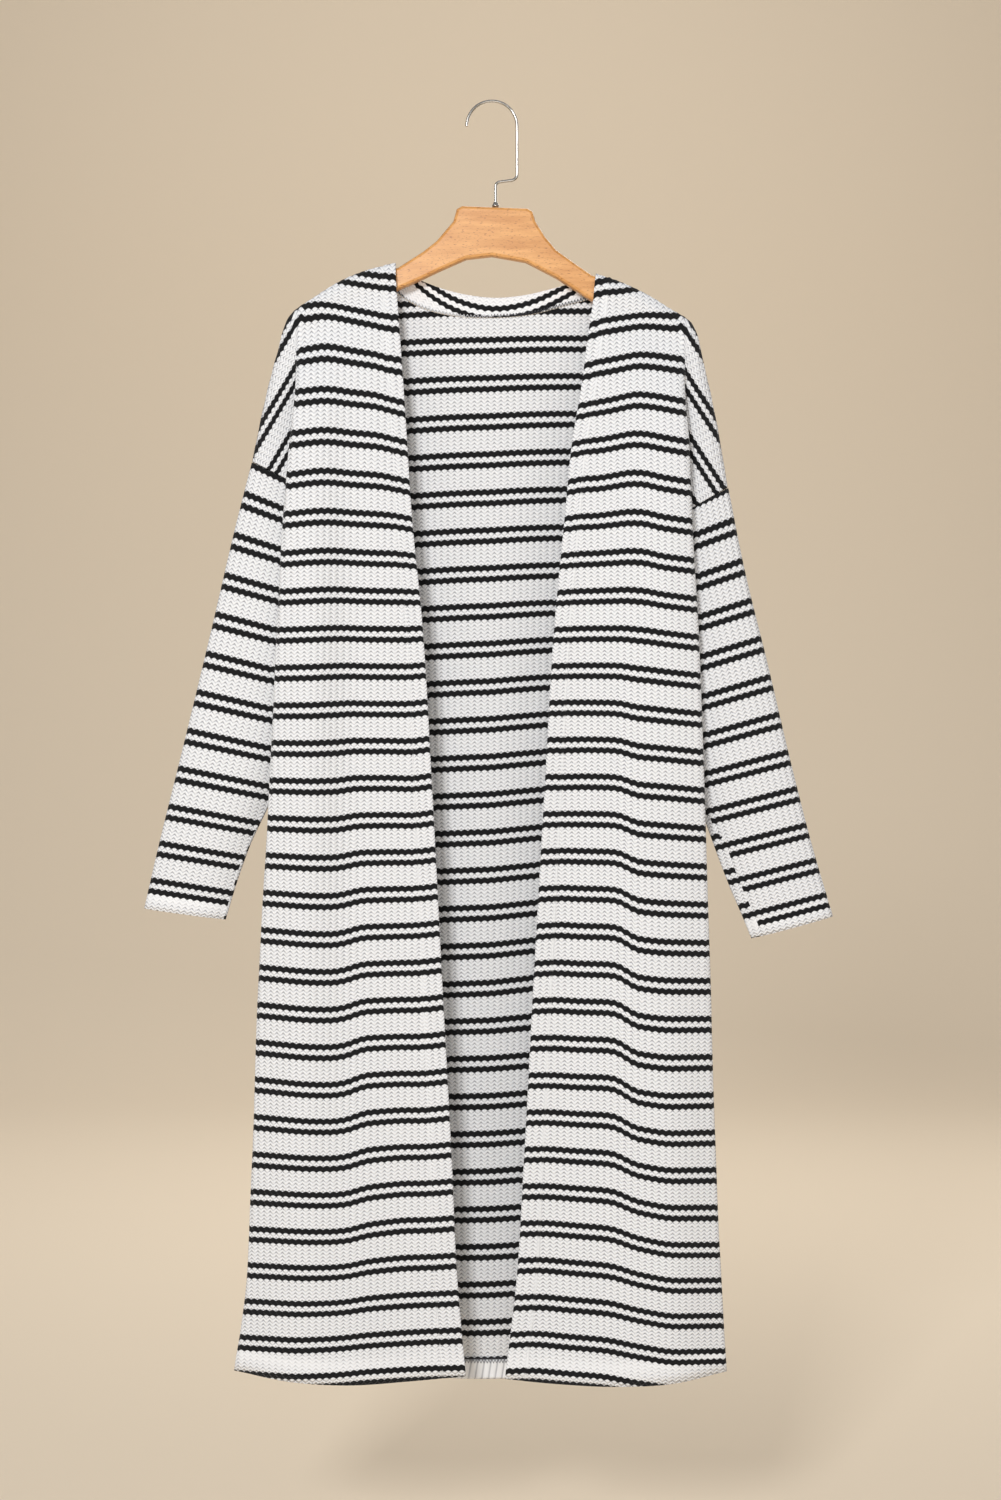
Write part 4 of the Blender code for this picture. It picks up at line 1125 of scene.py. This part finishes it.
beech_shader.inputs["Coat Weight"].default_value = 0.25
beech_shader.inputs["Coat Roughness"].default_value = 0.3
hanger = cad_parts["hanger_wood"]
hanger.data.materials.clear()
hanger.data.materials.append(beech)
print("hanger wood keeps its solid")

# %% [markdown]
# The hook is one bent steel wire, polished and plated.  A curve with a round section follows
# its bends, and a small turned collar sits where it enters the wood.

# %% Hook and collar
HOOK_WIRE = 1.45
HOOK_RADIUS = 25.45
HOOK_CENTRE = (0.9, 1.45 - HOOK_RADIUS)
HOOK_STEPS = 48
HOOK_STEM_X = 4.6
HOOK_BENDS = (((26.35, -78.0), 6.0), ((HOOK_STEM_X, -81.0), 5.0))
HOOK_FOOT = -101.0
BEND_STEPS = 10

steel, steel_shader = mottled("polished steel wire", 180.0, "A8A39C", "C4BFB8", 0.18, detail=3.0)
steel_shader.inputs["Metallic"].default_value = 1.0


def rounded(before, corner, after, radius):
    """Points along an arc that takes the place of a sharp bend."""
    into = (before - corner).normalized()
    out = (after - corner).normalized()
    half_angle = into.angle(out) / 2
    centre = corner + (into + out).normalized() * (radius / math.sin(half_angle))
    start = corner + into * (radius / math.tan(half_angle)) - centre
    end = corner + out * (radius / math.tan(half_angle)) - centre
    return [centre + start.lerp(end, k / BEND_STEPS).normalized() * radius for k in range(BEND_STEPS + 1)]


middle = Vector((HOOK_CENTRE[0], 0, HOOK_CENTRE[1]))
path = []
for k in range(HOOK_STEPS + 1):
    angle = math.pi * (1 - k / HOOK_STEPS)
    path.append(middle + Vector((math.cos(angle), 0, math.sin(angle))) * HOOK_RADIUS)
bend_corners = [path[-1]] + [Vector((x, 0, z)) for (x, z), radius in HOOK_BENDS]
bend_corners.append(Vector((HOOK_STEM_X, 0, HOOK_FOOT)))
for i, (place, radius) in enumerate(HOOK_BENDS, start=1):
    path.extend(rounded(bend_corners[i - 1], bend_corners[i], bend_corners[i + 1], radius))
path.append(bend_corners[-1])
hook_curve = bpy.data.curves.new("hook_wire", "CURVE")
hook_curve.dimensions = "3D"
hook_curve.bevel_depth = HOOK_WIRE * MM
hook_curve.bevel_resolution = 6
hook_curve.use_fill_caps = True
hook_spline = hook_curve.splines.new("POLY")
hook_spline.points.add(len(path) - 1)
for spot_point, place in zip(hook_spline.points, path):
    spot_point.co = (*(place * MM), 1.0)
hook_curve.materials.append(steel)
hook_spline.use_smooth = True
hook = bpy.data.objects.new("hook_wire", hook_curve)
bpy.context.scene.collection.objects.link(hook)
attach(hook, "root")
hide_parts("hanger_hook")

FERRULE_PROFILE = ((0.0, -101.2), (2.2, -101.2), (2.6, -102.0), (2.4, -102.8), (3.2, -103.4),
                   (3.6, -104.4), (3.5, -105.4), (2.9, -105.8), (0.0, -105.8))
bm = bmesh.new()
profile = [bm.verts.new((HOOK_STEM_X + r, 0, z)) for r, z in FERRULE_PROFILE]
edges = [bm.edges.new(pair) for pair in zip(profile, profile[1:])]
bmesh.ops.spin(bm, geom=profile + edges, cent=(HOOK_STEM_X, 0, 0), axis=(0, 0, 1), angle=2 * math.pi,
               steps=32, use_merge=True)
bmesh.ops.remove_doubles(bm, verts=bm.verts, dist=1e-4)
bmesh.ops.recalc_face_normals(bm, faces=bm.faces)
bmesh.ops.scale(bm, vec=(MM, MM, MM), verts=bm.verts)
for face in bm.faces:
    face.smooth = True
collar_mesh = bpy.data.meshes.new("hook_collar")
bm.to_mesh(collar_mesh)
bm.free()
collar_mesh.materials.append(steel)
collar = bpy.data.objects.new("hook_collar", collar_mesh)
bpy.context.scene.collection.objects.link(collar)
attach(collar, "root")
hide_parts("hanger_ferrule")
print("hook and collar made")

# %% [markdown]
# ## Floor and light
#
# A plain pale floor curves up far behind the cardigan.  The main light stands in front, a little
# to the left and above, so that the fronts throw only a narrow shadow on the back.  Wide weak
# ones fill it in, one lights the backdrop and one the cardigan's back.

# %% Floor
FLOOR_Z = -1500.0
COVE_START = 3.0
COVE_RADIUS = 2.5
floor_material, _, floor_shader = new_material("pale matt floor")
floor_shader.inputs["Base Color"].default_value = linear("E6D6BF")
floor_shader.inputs["Roughness"].default_value = 0.9
bm = bmesh.new()
bmesh.ops.create_grid(bm, x_segments=2, y_segments=160, size=10.0)
for v in bm.verts:
    past_bend = v.co.y - COVE_START
    if past_bend > 0:
        angle = min(past_bend / COVE_RADIUS, math.pi / 2)
        v.co.y = COVE_START + COVE_RADIUS * math.sin(angle)
        v.co.z = COVE_RADIUS * (1 - math.cos(angle)) + max(past_bend - COVE_RADIUS * math.pi / 2, 0.0)
bmesh.ops.translate(bm, vec=(0, 0, FLOOR_Z * MM), verts=bm.verts)
for face in bm.faces:
    face.smooth = True
floor_mesh = bpy.data.meshes.new("floor")
bm.to_mesh(floor_mesh)
bm.free()
floor_mesh.materials.append(floor_material)
floor = bpy.data.objects.new("floor", floor_mesh)
bpy.context.scene.collection.objects.link(floor)
print("floor at", FLOOR_Z, "mm")


# %% Lights
def area_light(name, place, target, size, power, colour):
    """A square soft light that faces a target."""
    data = bpy.data.lights.new(name, "AREA")
    data.size = size
    data.energy = power
    data.color = colour
    lamp = bpy.data.objects.new(name, data)
    lamp.location = place
    lamp.rotation_euler = (Vector(target) - Vector(place)).to_track_quat("-Z", "Y").to_euler()
    bpy.context.scene.collection.objects.link(lamp)


area_light("key", (-0.9, -3.3, 0.7), (0, 0, -0.65), 0.7, 76.0, (0.97, 0.985, 1.0))
area_light("front", (0.1, -3.4, -1.0), (0, 0, -1.0), 1.4, 18.0, (0.97, 0.985, 1.0))
area_light("fill", (2.2, -2.6, 0.0), (0, 0, -0.7), 1.8, 7.0, (1.0, 1.0, 1.0))
area_light("backdrop", (0.0, 1.6, 2.2), (0, 5.5, -0.6), 2.5, 70.0, (1.0, 0.98, 0.95))
area_light("back", (0.6, 2.2, 0.8), (0, 0, -0.7), 1.6, 22.0, (1.0, 0.99, 0.97))
world = bpy.data.worlds.new("studio")
bpy.context.scene.world = world
world.use_nodes = True
world.node_tree.nodes["Background"].inputs["Color"].default_value = linear("EDEEF0")
world.node_tree.nodes["Background"].inputs["Strength"].default_value = 0.36
bpy.context.scene.view_settings.view_transform = "Standard"
